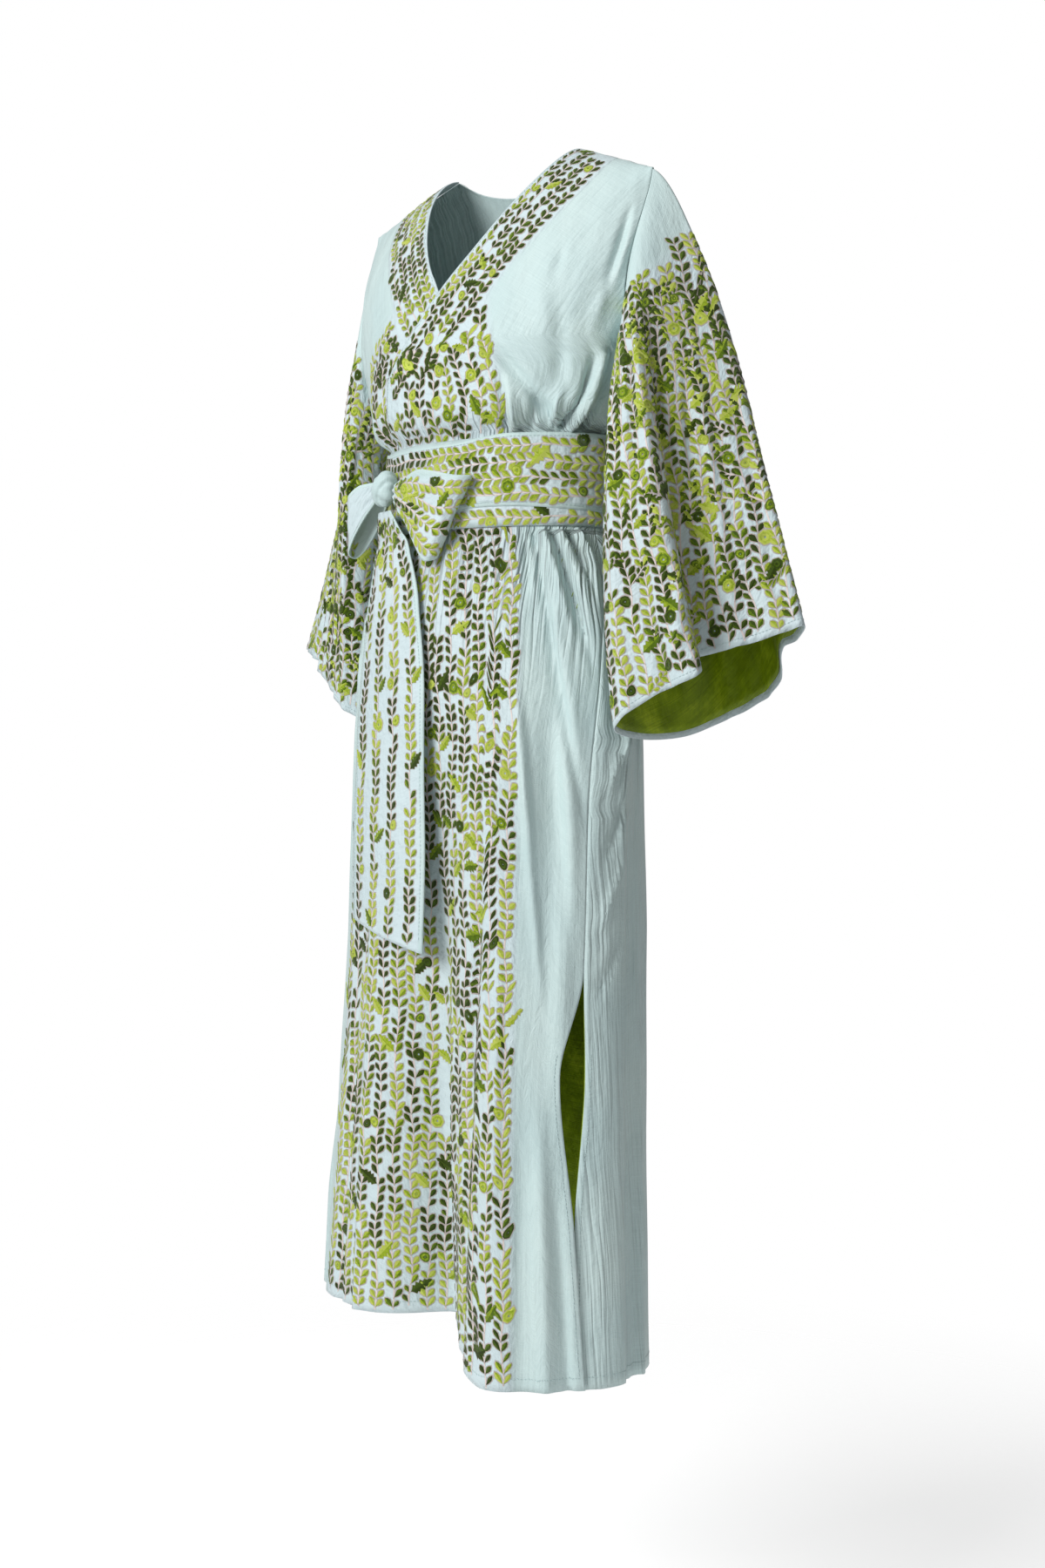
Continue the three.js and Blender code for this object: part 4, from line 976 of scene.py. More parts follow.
for layer in ("under", "over"):
    sheet = sashSheet(f"sash_{layer}_cloth", sashForm[layer])
    sheets[f"sash_{layer}"] = sheet
    pieces[f"sash_{layer}"] = makeCloth(sheet, silk, {"worked": bordered(sheet, 6)})
for side in ("left", "right"):
    sheet = loopSheet(f"bow_loop_{side}_cloth", side)
    sheets[f"bow_loop_{side}"] = sheet
    pieces[f"bow_loop_{side}"] = makeCloth(sheet, silk, {"worked": edged(sheet, 4) * ease(0.5, 0.53, sheet.grid())})
sheets["sash_tail"] = tailSheet("sash_tail_cloth")
pieces["sash_tail"] = makeCloth(sheets["sash_tail"], silk, {"worked": edged(sheets["sash_tail"], 7)})
pieces["sash_knot"] = makeKnot(silk)
print("sash and bow made")


# embroidery: motifs, vines and the tree that lays them on the cloth


threadTones = [(0.0, (58, 76, 12)), (0.25, (82, 108, 18)), (0.5, (118, 150, 26)), (0.75, (192, 218, 52)),
               (1.0, (228, 242, 112))]
outlineTone = (214, 202, 197)


def embroideryThread():
    thread = Finish("embroideryThread", Sheen_Weight=0.08, Sheen_Roughness=0.3, Specular_IOR_Level=0.22)
    tone, part, stitch = thread.attribute("tone"), thread.attribute("part"), thread.attribute("stitch")
    mottle = thread.noise(thread.node("ShaderNodeTexCoord", {}, output=3), 420.0, 2.0)
    # part moves the tone: the 0.62 half of each leaf is darkened as painted shade and the 1.0 half lightened as painted
    # light; below 0.3 part marks the pale outlines and stalks
    fill = thread.ramp(tone + (part - 0.8) * 0.6 + (mottle - 0.5) * 0.5,
                       *((place, linear(*colour)) for place, colour in threadTones))
    # painted shade: the colour is darkened in the grooves between stitches, besides the bump below
    ply = thread.node("ShaderNodeMath", {0: stitch * 9.0}, operation="SINE")
    grooves = thread.ramp(ply * 0.5 + 0.5, (0.1, (0.5, 0.5, 0.45, 1)), (0.7, white))
    shaded = thread.blend(0.22, fill, grooves, "MULTIPLY")
    isPale = thread.node("ShaderNodeMath", {0: part, 1: 0.3}, operation="LESS_THAN")
    thread.colour(thread.blend(isPale, shaded, linear(*outlineTone)))
    thread.roughness(0.4 + 0.1 * isPale)
    thread.bump(ply, 0.0002)
    return thread.material


def makeMotif(name, outline, spine, rings=None, border=1.3, high=0.8, stalk=0.0):
    outline = np.asarray(outline, float)
    count = len(outline)
    before, after = np.roll(outline, 1, 0), np.roll(outline, -1, 0)
    edge = after - before
    normal = np.stack([edge[:, 1], -edge[:, 0]], -1)
    normal /= np.linalg.norm(normal, axis=-1, keepdims=True) + 1e-9
    area = (outline[:, 0] * after[:, 1] - after[:, 0] * outline[:, 1]).sum()
    normal *= 1 if area > 0 else -1
    vertices, parts, faces = [], [], []

    def add(points, height, part):
        first = len(vertices)
        for x, y in points:
            vertices.append((x, y, height))
            parts.append(part)
        return first

    outer, inner = add(outline + normal * border, 0.02, 0.0), add(outline, 0.32, 0.0)
    for i in range(count):
        j = (i + 1) % count
        faces.append((outer + i, outer + j, inner + j, inner + i))
    if rings is None:  # a leaf: two halves that meet on a raised vein
        spine = np.asarray(spine, float)
        half = len(spine)
        # part 0.62 on one half and 1.0 on the other paint one half darker and one lighter, painted shade and painted
        # light across the leaf; the raised vein is a little darker than its half
        for side, part in ((0, 0.62), (1, 1.0)):
            picks = [i if side == 0 else (count - i) % count for i in range(half)]
            rim = add(outline[picks], 0.32, part)
            vein = add(spine, high, part * 0.9)
            for i in range(half - 1):
                face = (rim + i, rim + i + 1, vein + i + 1, vein + i)
                faces.append(face if side == 0 else face[::-1])
    else:  # a bud or rose: rings that rise to the middle
        last = add(outline, 0.32, rings[0][2])
        for share, height, part in rings:
            twist = 0.5 * (1 - share)
            turnBy = np.array([[math.cos(twist), -math.sin(twist)], [math.sin(twist), math.cos(twist)]])
            middle = outline.mean(0)
            following = add((outline - middle) @ turnBy.T * share + middle, height, part)
            for i in range(count):
                j = (i + 1) % count
                faces.append((last + i, last + j, following + j, following + i))
            last = following
            if share > 0.2:  # the next ring starts in its own tone
                last = add((outline - middle) @ turnBy.T * share + middle, height, 1.25 - part * 0.6)
        faces.append(tuple(last + i for i in range(count))[:4])
    if stalk:
        first = add([(-0.55, -1.2), (0.55, -1.2), (0.5, stalk), (-0.5, stalk)], 0.25, 0.0)
        faces.append((first, first + 1, first + 2, first + 3))
    vertices = np.array(vertices)
    solid = [face for face in faces if len(set(face)) == 4]
    stitch = vertices[:, 1] + np.abs(vertices[:, 0]) * 0.7
    mesh = meshFrom(name, vertices * mm, solid, attributes={"part": parts, "stitch": stitch})
    return bpy.data.objects.new(name, mesh)


def leafOutline(length, width, start, samples, tipward=1.45, teeth=0.0):
    t = np.asarray(samples, float)
    half = width / 2 * np.sin(np.pi * np.clip(t, 0, 1) ** tipward) ** 0.8
    if teeth:
        half = half * (1 + teeth * np.where(np.arange(len(t)) % 2 == 0, 1, -1))
    y = start + length * t
    left = np.stack([half, y], -1)
    right = np.stack([-half[1:-1], y[1:-1]], -1)[::-1]
    return np.concatenate([left, right]), np.stack([0 * y, y], -1)


def roundOutline(radius, count, petals, depth, middle):
    turn = np.arange(count) * 2 * np.pi / count
    reach = radius * (1 + depth * np.cos(petals * turn))
    return np.stack([reach * np.cos(turn), middle + reach * np.sin(turn)], -1)


leafSizes = [("motif0_leaf", 13.2, 7.4), ("motif1_slimLeaf", 13.8, 6.2), ("motif2_smallLeaf", 10.2, 6.4)]
budRings = [(0.72, 0.8, 0.62), (0.4, 1.0, 1.0), (0.12, 0.8, 0.7)]  # share, height, part
roseRings = [(0.78, 0.8, 1.0), (0.5, 1.0, 0.62), (0.16, 0.8, 1.0)]


def makeMotifs():
    samples = (0, 0.3, 0.6, 0.86, 1)
    shapes = [makeMotif(name, *leafOutline(length, width, 1.2, samples), stalk=2.0) for name, length, width in leafSizes]
    toothed = leafOutline(29, 12.5, 2.6, np.linspace(0, 1, 12), 0.8, 0.26)
    shapes.append(makeMotif("motif3_toothedLeaf", *toothed, border=0.7, high=0.9, stalk=3.0))
    bud = roundOutline(6.2, 12, 3, 0.06, 9.0)
    bud[:, 1] = 9.0 + (bud[:, 1] - 9.0) * 1.2
    shapes.append(makeMotif("motif4_bud", bud, None, budRings, stalk=3.0))
    shapes.append(makeMotif("motif5_rose", roundOutline(8.4, 14, 7, 0.05, 9.6), None, roseRings, stalk=2.0))
    stitch = leafOutline(3.2, 0.8, 0, (0, 0.5, 1), 1.0)
    shapes.append(makeMotif("motif6_stitch", *stitch, border=0.12, high=0.55))
    collection = bpy.data.collections.new("motifs")
    for shape in shapes:
        collection.objects.link(shape)
    return collection


def stretchField(sheet):  # what undoes the map's own stretch and slant, place by place
    flat = np.stack([np.stack(np.gradient(sheet.u), -1), np.stack(np.gradient(sheet.v), -1)], -2)
    flat = flat + np.eye(2) * 1e-6
    solid = np.stack(np.gradient(sheet.points, axis=(0, 1)), -1)
    way = solid @ np.linalg.inv(flat)
    values, vectors = np.linalg.eigh(np.swapaxes(way, -1, -2) @ way)
    return (vectors * np.clip(values, 0.25, 4)[..., None, :] ** -0.5) @ np.swapaxes(vectors, -1, -2)


habit = {"toneRun": 46, "toneJitter": 0.2, "missing": 0.04, "flowerGap": 3, "toothedLeaf": 3, "sprigLeaf": 2, "stitch": 6}


class Layout:  # the vines of one sheet, flat in its map, in millimetres
    def __init__(self, sheet, seed):
        self.sheet, self.random = sheet, random.Random(seed)
        self.spots, self.strips, self.field = [], [], stretchField(sheet)

    def stretchAt(self, down, around):
        row = self.sheet.rowAt(down)
        angles = self.sheet.arounds[row]
        return self.field[row, int(round(float(np.interp(around, angles, np.arange(len(angles))))))]

    def put(self, here, heading, size, kind, tone, stretch):
        self.spots.append((*here, heading, size, kind, tone, stretch[0, 0], stretch[0, 1], stretch[1, 1]))

    def tones(self, long, paleShare):  # dark and light runs along a vine
        steps, jitter = max(2, int(long / habit["toneRun"]) + 2), habit["toneJitter"]
        values = []
        for _ in range(steps):
            low, high = (0.82, 1.0) if self.random.random() < paleShare else (0.0, 0.3)
            values.append(low + (high - low) * self.random.random())
        places = np.linspace(0, long, steps)
        return lambda place: float(np.interp(place, places, values)) + self.random.uniform(-jitter, jitter)

    def onMap(self, path):  # the path in the map, and how far along it each place is
        flat = np.array([self.sheet.flatAt(down, around) for down, around in path])
        return flat, np.concatenate([[0], np.cumsum(np.linalg.norm(np.diff(flat, axis=0), axis=1))])

    def vine(self, path, pitch=10.6, lean=39, size=1.0, pale=0.45, flowers=0.1, wiggle=1.6, allowed=None, spread=0.0):
        flat, run = self.onMap(path)
        long = run[-1]
        if long < pitch * 1.5:
            return
        phase, wave = self.random.uniform(0, 6), self.random.uniform(60, 110)
        toneAt = self.tones(long, pale)

        def at(place):
            x, y = (np.interp(place, run, flat[:, i]) for i in (0, 1))
            after, before = ([np.interp(near, run, flat[:, i]) for i in (0, 1)]
                             for near in (min(place + 2, long), max(place - 2, 0)))
            ahead = np.array(after) - np.array(before)
            ahead /= np.hypot(*ahead) + 1e-9
            sway = wiggle * math.sin(place / wave * 6.28 + phase)
            return np.array([x - ahead[1] * sway, y + ahead[0] * sway]), ahead

        def spotAt(place):
            return [np.interp(place, run, values) for values in zip(*path)]

        strip = []
        place = (long - 3) % pitch + 0.5
        skip = {-1: 0, 1: 0}
        sinceFlower = self.random.randint(0, 6)
        while place < long - 1:
            if allowed is None or allowed(*spotAt(place)):
                here, ahead = at(place)
                stretch = self.stretchAt(*spotAt(place))
                grow = np.linalg.solve(stretch, -ahead)
                heading = math.degrees(math.atan2(grow[1], grow[0])) - 90
                strip.append(place)
                sinceFlower += 1
                for side in (-1, 1):
                    if skip[side] > 0:
                        skip[side] -= 1
                        continue
                    if sinceFlower > habit["flowerGap"] and self.random.random() < flowers:
                        kind = self.random.choices((3, 4, 5), (4, 3, 3))[0]
                        tone = self.random.choice((0.15, 0.55, 0.85, 0.95))
                        turn = heading + side * self.random.uniform(34, 62)
                        self.put(here, turn, size * self.random.uniform(0.85, 1.05), kind, tone, stretch)
                        skip[side] = 2 if kind == habit["toothedLeaf"] else 1
                        sinceFlower = 0
                        continue
                    if self.random.random() < habit["missing"]:
                        continue
                    kind = self.random.choices((0, 1, 2), (5, 3, 1))[0]
                    turn = heading + side * (lean + self.random.uniform(-7, 7))
                    large = size * self.random.uniform(0.88, 1.08)
                    self.put(here, turn, large, kind, min(1, max(0, toneAt(place))), stretch)
                    if spread and self.random.random() < spread:  # a sprig that sets off sideways
                        self.sprig(here, heading + side * self.random.uniform(48, 70), size, toneAt(place), stretch)
                        skip[side] = 2
            else:
                self.ribbon(strip, at, size)
                strip = []
            place += pitch * self.random.uniform(0.95, 1.05)
        self.ribbon(strip, at, size)

    def stitches(self, path, pitch=4.4):  # a line of running stitches
        flat, run = self.onMap(path)
        for place in np.arange(1, run[-1] - 4, pitch):
            here, there = (np.array([np.interp(at, run, flat[:, i]) for i in (0, 1)]) for at in (place, place + 3))
            heading = math.degrees(math.atan2(*(there - here)[::-1])) - 90
            self.put(here, heading, 1.0, habit["stitch"], 0.5, np.eye(2))

    def sprig(self, here, heading, size, tone, stretch):
        turn = math.radians(heading + 90)
        ahead = stretch @ np.array([math.cos(turn), math.sin(turn)])
        count = self.random.randint(2, 3)
        leaf = (size * 0.8, habit["sprigLeaf"], tone, stretch)
        for step in range(1, count + 1):
            for side in (-1, 1):
                self.put(here + ahead * step * 7.5 * size, heading + side * 42, *leaf)
        end = here + ahead * (count + 0.6) * 7.5 * size
        self.put(end, heading, *leaf)
        side = np.array([-ahead[1], ahead[0]]) * 0.5
        self.strips.append([(here - side, here + side), (end - side, end + side)])

    def ribbon(self, places, at, size):
        if len(places) < 2:
            return
        line = []
        for place in np.arange(places[0] - 3, places[-1] + 5, 4.0):
            here, ahead = at(max(place, 0))
            side = np.array([-ahead[1], ahead[0]]) * 1.0 * size
            line.append((here - side, here + side))
        self.strips.append(line)


def threadTree():
    tree = bpy.data.node_groups.new("vineEmbroidery", "GeometryNodeTree")
    face = tree.interface
    wanted = [("Flat work", "NodeSocketGeometry", None), ("Cloth", "NodeSocketObject", None),
              ("Motifs", "NodeSocketCollection", None), ("Lift", "NodeSocketFloat", 0.00012),
              ("Turn jitter", "NodeSocketFloat", 0.06), ("Size jitter", "NodeSocketFloat", 0.04),
              ("Seed", "NodeSocketInt", 3), ("Thread", "NodeSocketMaterial", None)]
    for name, kind, value in wanted:
        socket = face.new_socket(name=name, in_out="INPUT", socket_type=kind)
        if value is not None:
            socket.default_value = value
    face.new_socket(name="Work", in_out="OUTPUT", socket_type="NodeSocketGeometry")

    def node(kind, sockets=None, **settings):
        made = tree.nodes.new(kind)
        for setting, value in settings.items():
            setattr(made, setting, value)
        for socket, value in (sockets or {}).items():
            if isinstance(value, bpy.types.NodeSocket):
                tree.links.new(value, made.inputs[socket])
            else:
                made.inputs[socket].default_value = value
        return made

    def named(name, kind):
        return node("GeometryNodeInputNamedAttribute", {"Name": name}, data_type=kind).outputs["Attribute"]

    def vector(operation, first, second, output=0):
        return node("ShaderNodeVectorMath", {0: first, 1: second}, operation=operation).outputs[output]

    def combined(**parts):
        return node("ShaderNodeCombineXYZ", {"XYZ".index(axis): value for axis, value in parts.items()}).outputs[0]

    def jittered(name, share, **sockets):  # an attribute, changed a little from spot to spot
        sockets = {2: -1.0, 3: 1.0, **{key.upper() if key == "id" else key.title(): value for key, value in sockets.items()}}
        by = node("FunctionNodeRandomValue", sockets, data_type="FLOAT").outputs[1]
        return node("ShaderNodeMath", {0: by, 1: share, 2: named(name, "FLOAT")}, operation="MULTIPLY_ADD").outputs[0]

    given, here = node("NodeGroupInput").outputs, node("GeometryNodeInputPosition").outputs[0]
    cloth = node("GeometryNodeObjectInfo", {"Object": given["Cloth"]}).outputs["Geometry"]
    isSpot = node("FunctionNodeCompare", {0: named("motif", "FLOAT"), 1: -0.5}, data_type="FLOAT",
                  operation="GREATER_THAN").outputs[0]
    parted = node("GeometryNodeSeparateGeometry", {"Geometry": given["Flat work"], "Selection": isSpot},
                  domain="POINT").outputs
    shapes = node("GeometryNodeCollectionInfo", {"Collection": given["Motifs"], "Separate Children": True,
                                                 "Reset Children": True}).outputs[0]
    turning = jittered("turn", given["Turn jitter"], seed=given["Seed"])
    sizing = jittered("size", given["Size jitter"], id=node("GeometryNodeInputIndex").outputs[0], seed=11)
    spun = node("FunctionNodeEulerToRotation", {0: combined(Z=turning)}).outputs[0]
    laid = node("GeometryNodeInstanceOnPoints", {
        "Points": parted[0], "Instance": shapes, "Pick Instance": True, "Instance Index": named("motif", "INT"),
        "Rotation": spun, "Scale": sizing}).outputs[0]
    joined = node("GeometryNodeJoinGeometry")
    tree.links.new(node("GeometryNodeRealizeInstances", {0: laid}).outputs[0], joined.inputs[0])
    tree.links.new(parted[1], joined.inputs[0])
    centre = named("centre", "FLOAT_VECTOR")
    stretch = node("ShaderNodeSeparateXYZ", {0: named("stretch", "FLOAT_VECTOR")}).outputs
    offset = vector("SUBTRACT", here, centre)
    rows = [combined(X=stretch[first], Y=stretch[second]) for first, second in ((0, 1), (1, 2))]
    drawn = [vector("DOT_PRODUCT", offset, row, 1) for row in rows]
    flatPlace = vector("ADD", centre, combined(X=drawn[0], Y=drawn[1]))
    clothMap = named("clothMap", "FLOAT_VECTOR")

    def sampled(value):
        sockets = {"Mesh": cloth, "Value": value, "UV Map": clothMap, "Sample UV": flatPlace}
        return node("GeometryNodeSampleUVSurface", sockets, data_type="FLOAT_VECTOR").outputs

    spot = sampled(here)
    off = node("FunctionNodeBooleanMath", {0: spot[1]}, operation="NOT").outputs[0]
    kept = node("GeometryNodeDeleteGeometry", {"Geometry": joined.outputs[0], "Selection": off},
                domain="POINT").outputs[0]
    high = node("ShaderNodeSeparateXYZ", {0: here}).outputs[2]
    height = node("ShaderNodeMath", {0: high, 1: given["Lift"]}, operation="ADD").outputs[0]
    raisedBy = node("ShaderNodeVectorMath", {0: sampled(named("out", "FLOAT_VECTOR"))[0], "Scale": height},
                    operation="SCALE").outputs[0]
    moved = node("GeometryNodeSetPosition", {"Geometry": kept, "Position": vector("ADD", spot[0], raisedBy)}).outputs[0]
    finished = node("GeometryNodeSetMaterial", {"Geometry": moved, "Material": given["Thread"]}).outputs[0]
    tree.links.new(finished, node("NodeGroupOutput").inputs[0])
    return tree


def layEmbroidery(name, layout, tree, motifs, thread, lift=0.12):
    sheet, spots = layout.sheet, layout.spots
    rows, columns = sheet.points.shape[:2]
    flat = np.stack([sheet.u, sheet.v], -1).reshape(-1, 2) * mm
    source = meshFrom(name + "_source", sheet.points.reshape(-1, 3) * mm, gridFaces(rows, columns), flat)
    addVectors(source, "out", unit(sheet.points - sheet.inner))
    vertices, faces = [(spot[0], spot[1], 0) for spot in spots], []
    for strip in layout.strips:
        first = len(vertices)
        for left, right in strip:
            vertices += [(left[0], left[1], 0.14), (right[0], right[1], 0.14)]
        faces += [(first + 2 * i, first + 2 * i + 1, first + 2 * i + 3, first + 2 * i + 2) for i in range(len(strip) - 1)]
    extra = len(vertices) - len(spots)
    values = {"turn": [math.radians(spot[2]) for spot in spots] + [0] * extra}
    for key, column, rest in (("size", 3, 0), ("motif", 4, -1), ("tone", 5, 0)):
        values[key] = [spot[column] for spot in spots] + [rest] * extra
    flatWork = meshFrom(name, np.array(vertices) * mm, np.array(faces, int).reshape(-1, 4)[:, ::-1], attributes=values)
    centres, stretches = np.zeros((len(vertices), 3)), np.tile((1.0, 0.0, 1.0), (len(vertices), 1))
    centres[:len(spots), :2] = [spot[:2] for spot in spots]
    stretches[:len(spots)] = [spot[6:] for spot in spots]
    addVectors(flatWork, "centre", centres * mm)
    addVectors(flatWork, "stretch", stretches)
    clothObject, worked = newObject(name + "_source", source), newObject(name + "_flat", flatWork)
    modifier = worked.modifiers.new("work", "NODES")
    modifier.node_group = tree
    sockets = {item.name: item.identifier for item in tree.interface.items_tree if item.in_out == "INPUT"}
    for key, value in (("Cloth", clothObject), ("Motifs", motifs), ("Lift", lift * mm), ("Seed", len(spots)),
                       ("Thread", thread)):
        modifier[sockets[key]] = value
    made = bpy.data.meshes.new_from_object(worked.evaluated_get(bpy.context.evaluated_depsgraph_get()))
    made.name = name
    for old in (worked, clothObject):
        bpy.data.objects.remove(old)
    print(name, len(spots), "motifs,", len(made.polygons), "faces")
    return newObject(name, made)


def arcPath(sheet, downs, distance, fromAngle, way):  # places at a distance along the cloth from a line
    path = []
    for down in downs:
        row = sheet.rowAt(down)
        angles, u = sheet.arounds[row], sheet.u[row]
        increasing = u[-1] > u[0]
        start = np.interp(fromAngle(down), angles, u)
        target = start + way * distance * (1 if increasing else -1)
        runs, turns = (u, angles) if increasing else (u[::-1], angles[::-1])
        path.append((down, float(np.interp(target, runs, turns)), runs[0] <= target <= runs[-1]))
    return path


frontWork = {"spacing": 19.8, "first": 11, "size": 0.88, "flowers": 0.085, "foldMiddle": 5.5, "rails": (20, 13),
             "neckReaches": (11, 26.5, 42, 57), "neckClear": 42, "clearMore": 32}
sleeveWork = {"rails": 34, "apart": 12.0, "apartJitter": 5, "end": 0.996}


def frontVines(layout, side):
    sheet, middle = layout.sheet, frontWork["foldMiddle"]

    def border(down):
        return float(readTable(bandBorder, "z", side, np.array(heightAt(down))))

    def edge(down):
        return float(wrapEdge(np.array(float(down))))

    def allowed(down, around):
        z = heightAt(down)
        if form["sashBottom"] + 5 < z < form["sashTop"] - 5:
            return False
        if side == "right" and -around > edge(down) + 1.0:
            return False
        return z > form["hemZ"] + 3

    for reach in frontWork["neckReaches"]:  # these follow the neckline down to the wrap's corner
        trail = np.linspace(2, 400, 130)
        slope = (neckLine(trail) - neckLine(trail + 2)) / 2
        norm = np.hypot(1, slope)
        downs, across = trail + reach * slope / norm, neckLine(trail) + reach / norm
        corner = form["overlapX"] + 8 if reach < 30 else 12
        path = [(d, float(angleOfX(np.array(d), np.array(x)))) for d, x in zip(downs, across) if x > corner and d > 3]
        layout.vine(path, lean=29, size=0.84, pale=0.2 if side == "left" else 0.5, flowers=0.07, wiggle=0.8,
                    allowed=allowed)
    downs = np.linspace(150, dropAt(form["hemZ"] + 3), 150)

    def clear(down, around):  # below the neckline's own vines
        x = float(bodyPoint(np.array([float(down)]), np.array([float(around)]), False)[0, 0])
        reach = float(neckDistance(np.array([x]), np.array([down]))[0])
        return reach > frontWork["neckClear"] + frontWork["clearMore"] * ease(0, 40, x)

    def fromBorder(d, a):
        return a > middle + 1 and a > edge(d) + 5 and clear(d, a)

    def fromEdge(d, a):
        return a <= middle - 1 and clear(d, a) and a < border(d) - 4

    for line, way, fits, rails in ((border, -1, fromBorder, frontWork["rails"][0]),
                                   (edge, 1, fromEdge, frontWork["rails"][1])):
        for k in range(rails):
            rail = arcPath(sheet, downs, frontWork["first"] + frontWork["spacing"] * k, line, way)
            path = [(d, a) for d, a, onSheet in rail if onSheet and fits(d, a)]
            if len(path) > 12:
                pale = (0.75 if k == 0 else 0.42) if way < 0 else 0.4
                layout.vine(path, size=frontWork["size"], pale=pale, flowers=frontWork["flowers"], allowed=allowed)


def sleeveVines(layout, side):
    count = sleeveWork["rails"]
    for k in range(count):
        share = (k + 0.5) / count
        start = float(np.interp(share, sleeveStart["share"], sleeveStart["along"])) + layout.random.uniform(-0.02, 0.1)
        downs = np.linspace(start, sleeveWork["end"], 60)
        apart = sleeveRail(side, downs, share + 1 / count) - sleeveRail(side, downs, share)
        weight = 1 if k % 2 else 2  # every second vine stops where they come close
        path = [(down, share) for down, gap in zip(downs, np.linalg.norm(apart, axis=-1))
                if gap * weight > sleeveWork["apart"] + sleeveWork["apartJitter"] * layout.random.random()]
        if len(path) >= 6:
            layout.vine(path, size=0.9, pale=0.3 if k % 4 == 1 else 0.6, flowers=0.12, wiggle=2.4, spread=0.03)


def roundSash(share):
    return [(share, angle) for angle in np.linspace(-180, 180, 240)]


def sashVines(layout, *shares):
    for share in shares:
        layout.vine(roundSash(share), lean=36, size=0.94, pale=0.75, flowers=0.05, wiggle=1.0)


def straightVines(layout, arounds, downs, **look):
    for around in arounds:
        layout.vine([(down, around) for down in downs], size=0.9, pale=0.5, **look)


def tailVines(layout):
    straightVines(layout, (0.13, 0.37, 0.61, 0.85), np.linspace(0.03, 0.995, 80), lean=40, flowers=0.07, wiggle=1.2)


def loopVines(layout):
    straightVines(layout, (0.14, 0.38, 0.62, 0.86), np.linspace(0.52, 0.97, 40), lean=36, flowers=0.06, wiggle=0.6)


thread, motifs, tree = embroideryThread(), makeMotifs(), threadTree()
work = {  # seed, what lays the vines, and what it is told
    "front_left": (11, frontVines, "left"), "front_right": (12, frontVines, "right"),
    "sleeve_left": (13, sleeveVines, "left"), "sleeve_right": (14, sleeveVines, "right"),
    "sash_over": (15, sashVines, 0.17, 0.39, 0.61, 0.83), "sash_under": (16, sashVines, 0.9),
    "sash_tail": (17, tailVines), "bow_loop_left": (18, loopVines), "bow_loop_right": (19, loopVines),
}
for name, (seed, lay, *told) in work.items():
    layout = Layout(sheets[name], seed)
    lay(layout, *told)
    pieces[name + "_vines"] = layEmbroidery(name + "_vines", layout, tree, motifs, thread)
print("embroidery laid")

# how far the lines lie from an edge in millimetres, the slit's top, and shares of the cloth's width or length
sewing = {"slit": 6, "hem": 13, "neck": 3.5, "tail": 5.5, "slitTop": -985, "cuff": 0.985, "sash": (0.05, 0.95),
          "seed": 5, "lift": 0.02}
hemDrop = dropAt(form["hemZ"])


def sewn(name, lines):
    layout = Layout(sheets[name], sewing["seed"])
    for line in lines:
        layout.stitches(line)
    pieces[name + "_stitches"] = layEmbroidery(name + "_stitches", layout, tree, motifs, sewingThread, sewing["lift"])


def besideEdge(sheet, downs, distance, last):  # a line at a set distance from the first or last column
    path = []
    for down in downs:
        row = sheet.rowAt(down)
        run = np.abs(sheet.u[row] - sheet.u[row, -1 if last else 0])
        order = slice(None, None, -1) if last else slice(None)
        path.append((down, float(np.interp(distance, run[order], sheet.arounds[row][order]))))
    return path


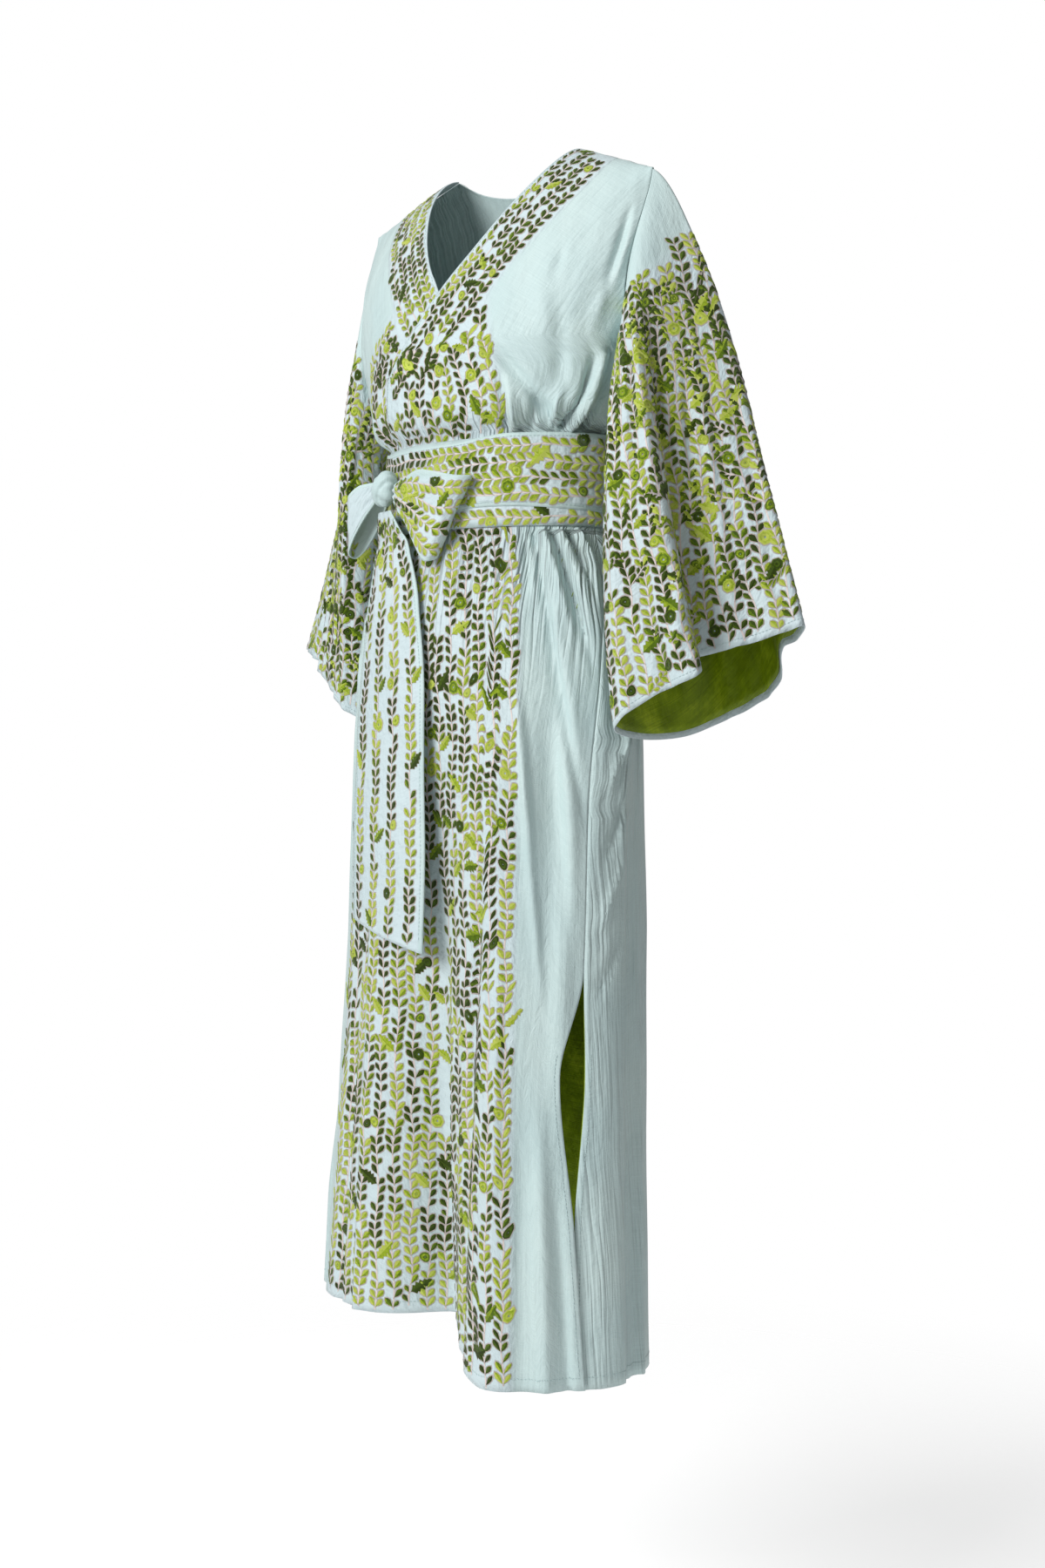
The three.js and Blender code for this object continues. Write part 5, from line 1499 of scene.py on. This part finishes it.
for name in ("front_left", "front_right", "back"):
    sheet, low = sheets[name], hemDrop - sewing["hem"]
    hem = [(low, angle) for angle in np.linspace(sheet.arounds[-1][0], sheet.arounds[-1][-1], 120)]
    slitDowns = np.linspace(dropAt(sewing["slitTop"]), low, 80)
    edges = [besideEdge(sheet, slitDowns, sewing["slit"], True)]
    if name == "back":
        edges.append(besideEdge(sheet, slitDowns, sewing["slit"], False))
    else:
        edges.append(besideEdge(sheet, np.linspace(3, dropAt(form["sashTop"]), 120), sewing["neck"], False))
    sewn(name, [hem] + edges)
for side in ("left", "right"):
    sewn(f"sleeve_{side}", [[(sewing["cuff"], share) for share in np.linspace(0.002, 0.998, 200)]])
tailDowns = np.linspace(0.02, 0.98, 90)
sewn("sash_tail", [besideEdge(sheets["sash_tail"], tailDowns, sewing["tail"], last) for last in (False, True)])
sewn("sash_over", [roundSash(share) for share in sewing["sash"]])
print("stitch lines sewn")

# what each piece stands for

standsFor = {name: [] if name.endswith(("_vines", "_stitches")) else [name] for name in pieces}
standsFor["sash_under"], standsFor["sash_over"] = ["sash"], []
for name in ("front_left", "front_right", "back"):
    standsFor[name] = ["bodice_" + name, "skirt_" + name]
for name, piece in pieces.items():
    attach(piece, "root")
    if standsFor[name]:
        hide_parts(*standsFor[name])

# each sheet's cut, measured on the cloth as shaped above: greatest width and length in metres, its area where
# that isn't the rectangle's, how it is held, and what it hangs from or lies on
cuts = {
    "front_left": (0.385, 1.42, 0.40, "hung", "back"),
    "front_right": (0.385, 1.445, 0.394, "hung", "back"),
    "back": (0.695, 1.385, 0.757, "hung", "front_left"),
    "skirt_lining_left": (0.385, 0.943, 0.28, "hung", "front_left"),
    "skirt_lining_right": (0.377, 0.904, 0.277, "hung", "front_right"),
    "skirt_lining_back": (0.678, 0.932, 0.542, "hung", "back"),
    "sleeve_left": (0.70, 0.533, 0.224, "hung", "front_left"),
    "sleeve_right": (0.542, 0.531, 0.174, "hung", "front_right"),
    "sleeve_lining_left": (0.68, 0.499, 0.205, "hung", "sleeve_left"),
    "sleeve_lining_right": (0.526, 0.498, 0.159, "hung", "sleeve_right"),
    "sash_under": (0.099, 0.84, None, "gathered", "back"),
    "sash_over": (0.086, 0.855, 0.070, "gathered", "sash_under"),
    "bow_loop_left": (0.102, 0.256, 0.0144, "folded", "sash_over"),
    "bow_loop_right": (0.069, 0.189, 0.0069, "folded", "sash_over"),
    "sash_tail": (0.153, 0.516, 0.0638, "hung", "sash_over"),
}
for name, (width, long, area, held, restsOn) in cuts.items():
    trims = [pieces[name + ending] for ending in ("_vines", "_stitches") if name + ending in pieces]
    if name == "sash_over":
        trims.append(pieces["sash_knot"])
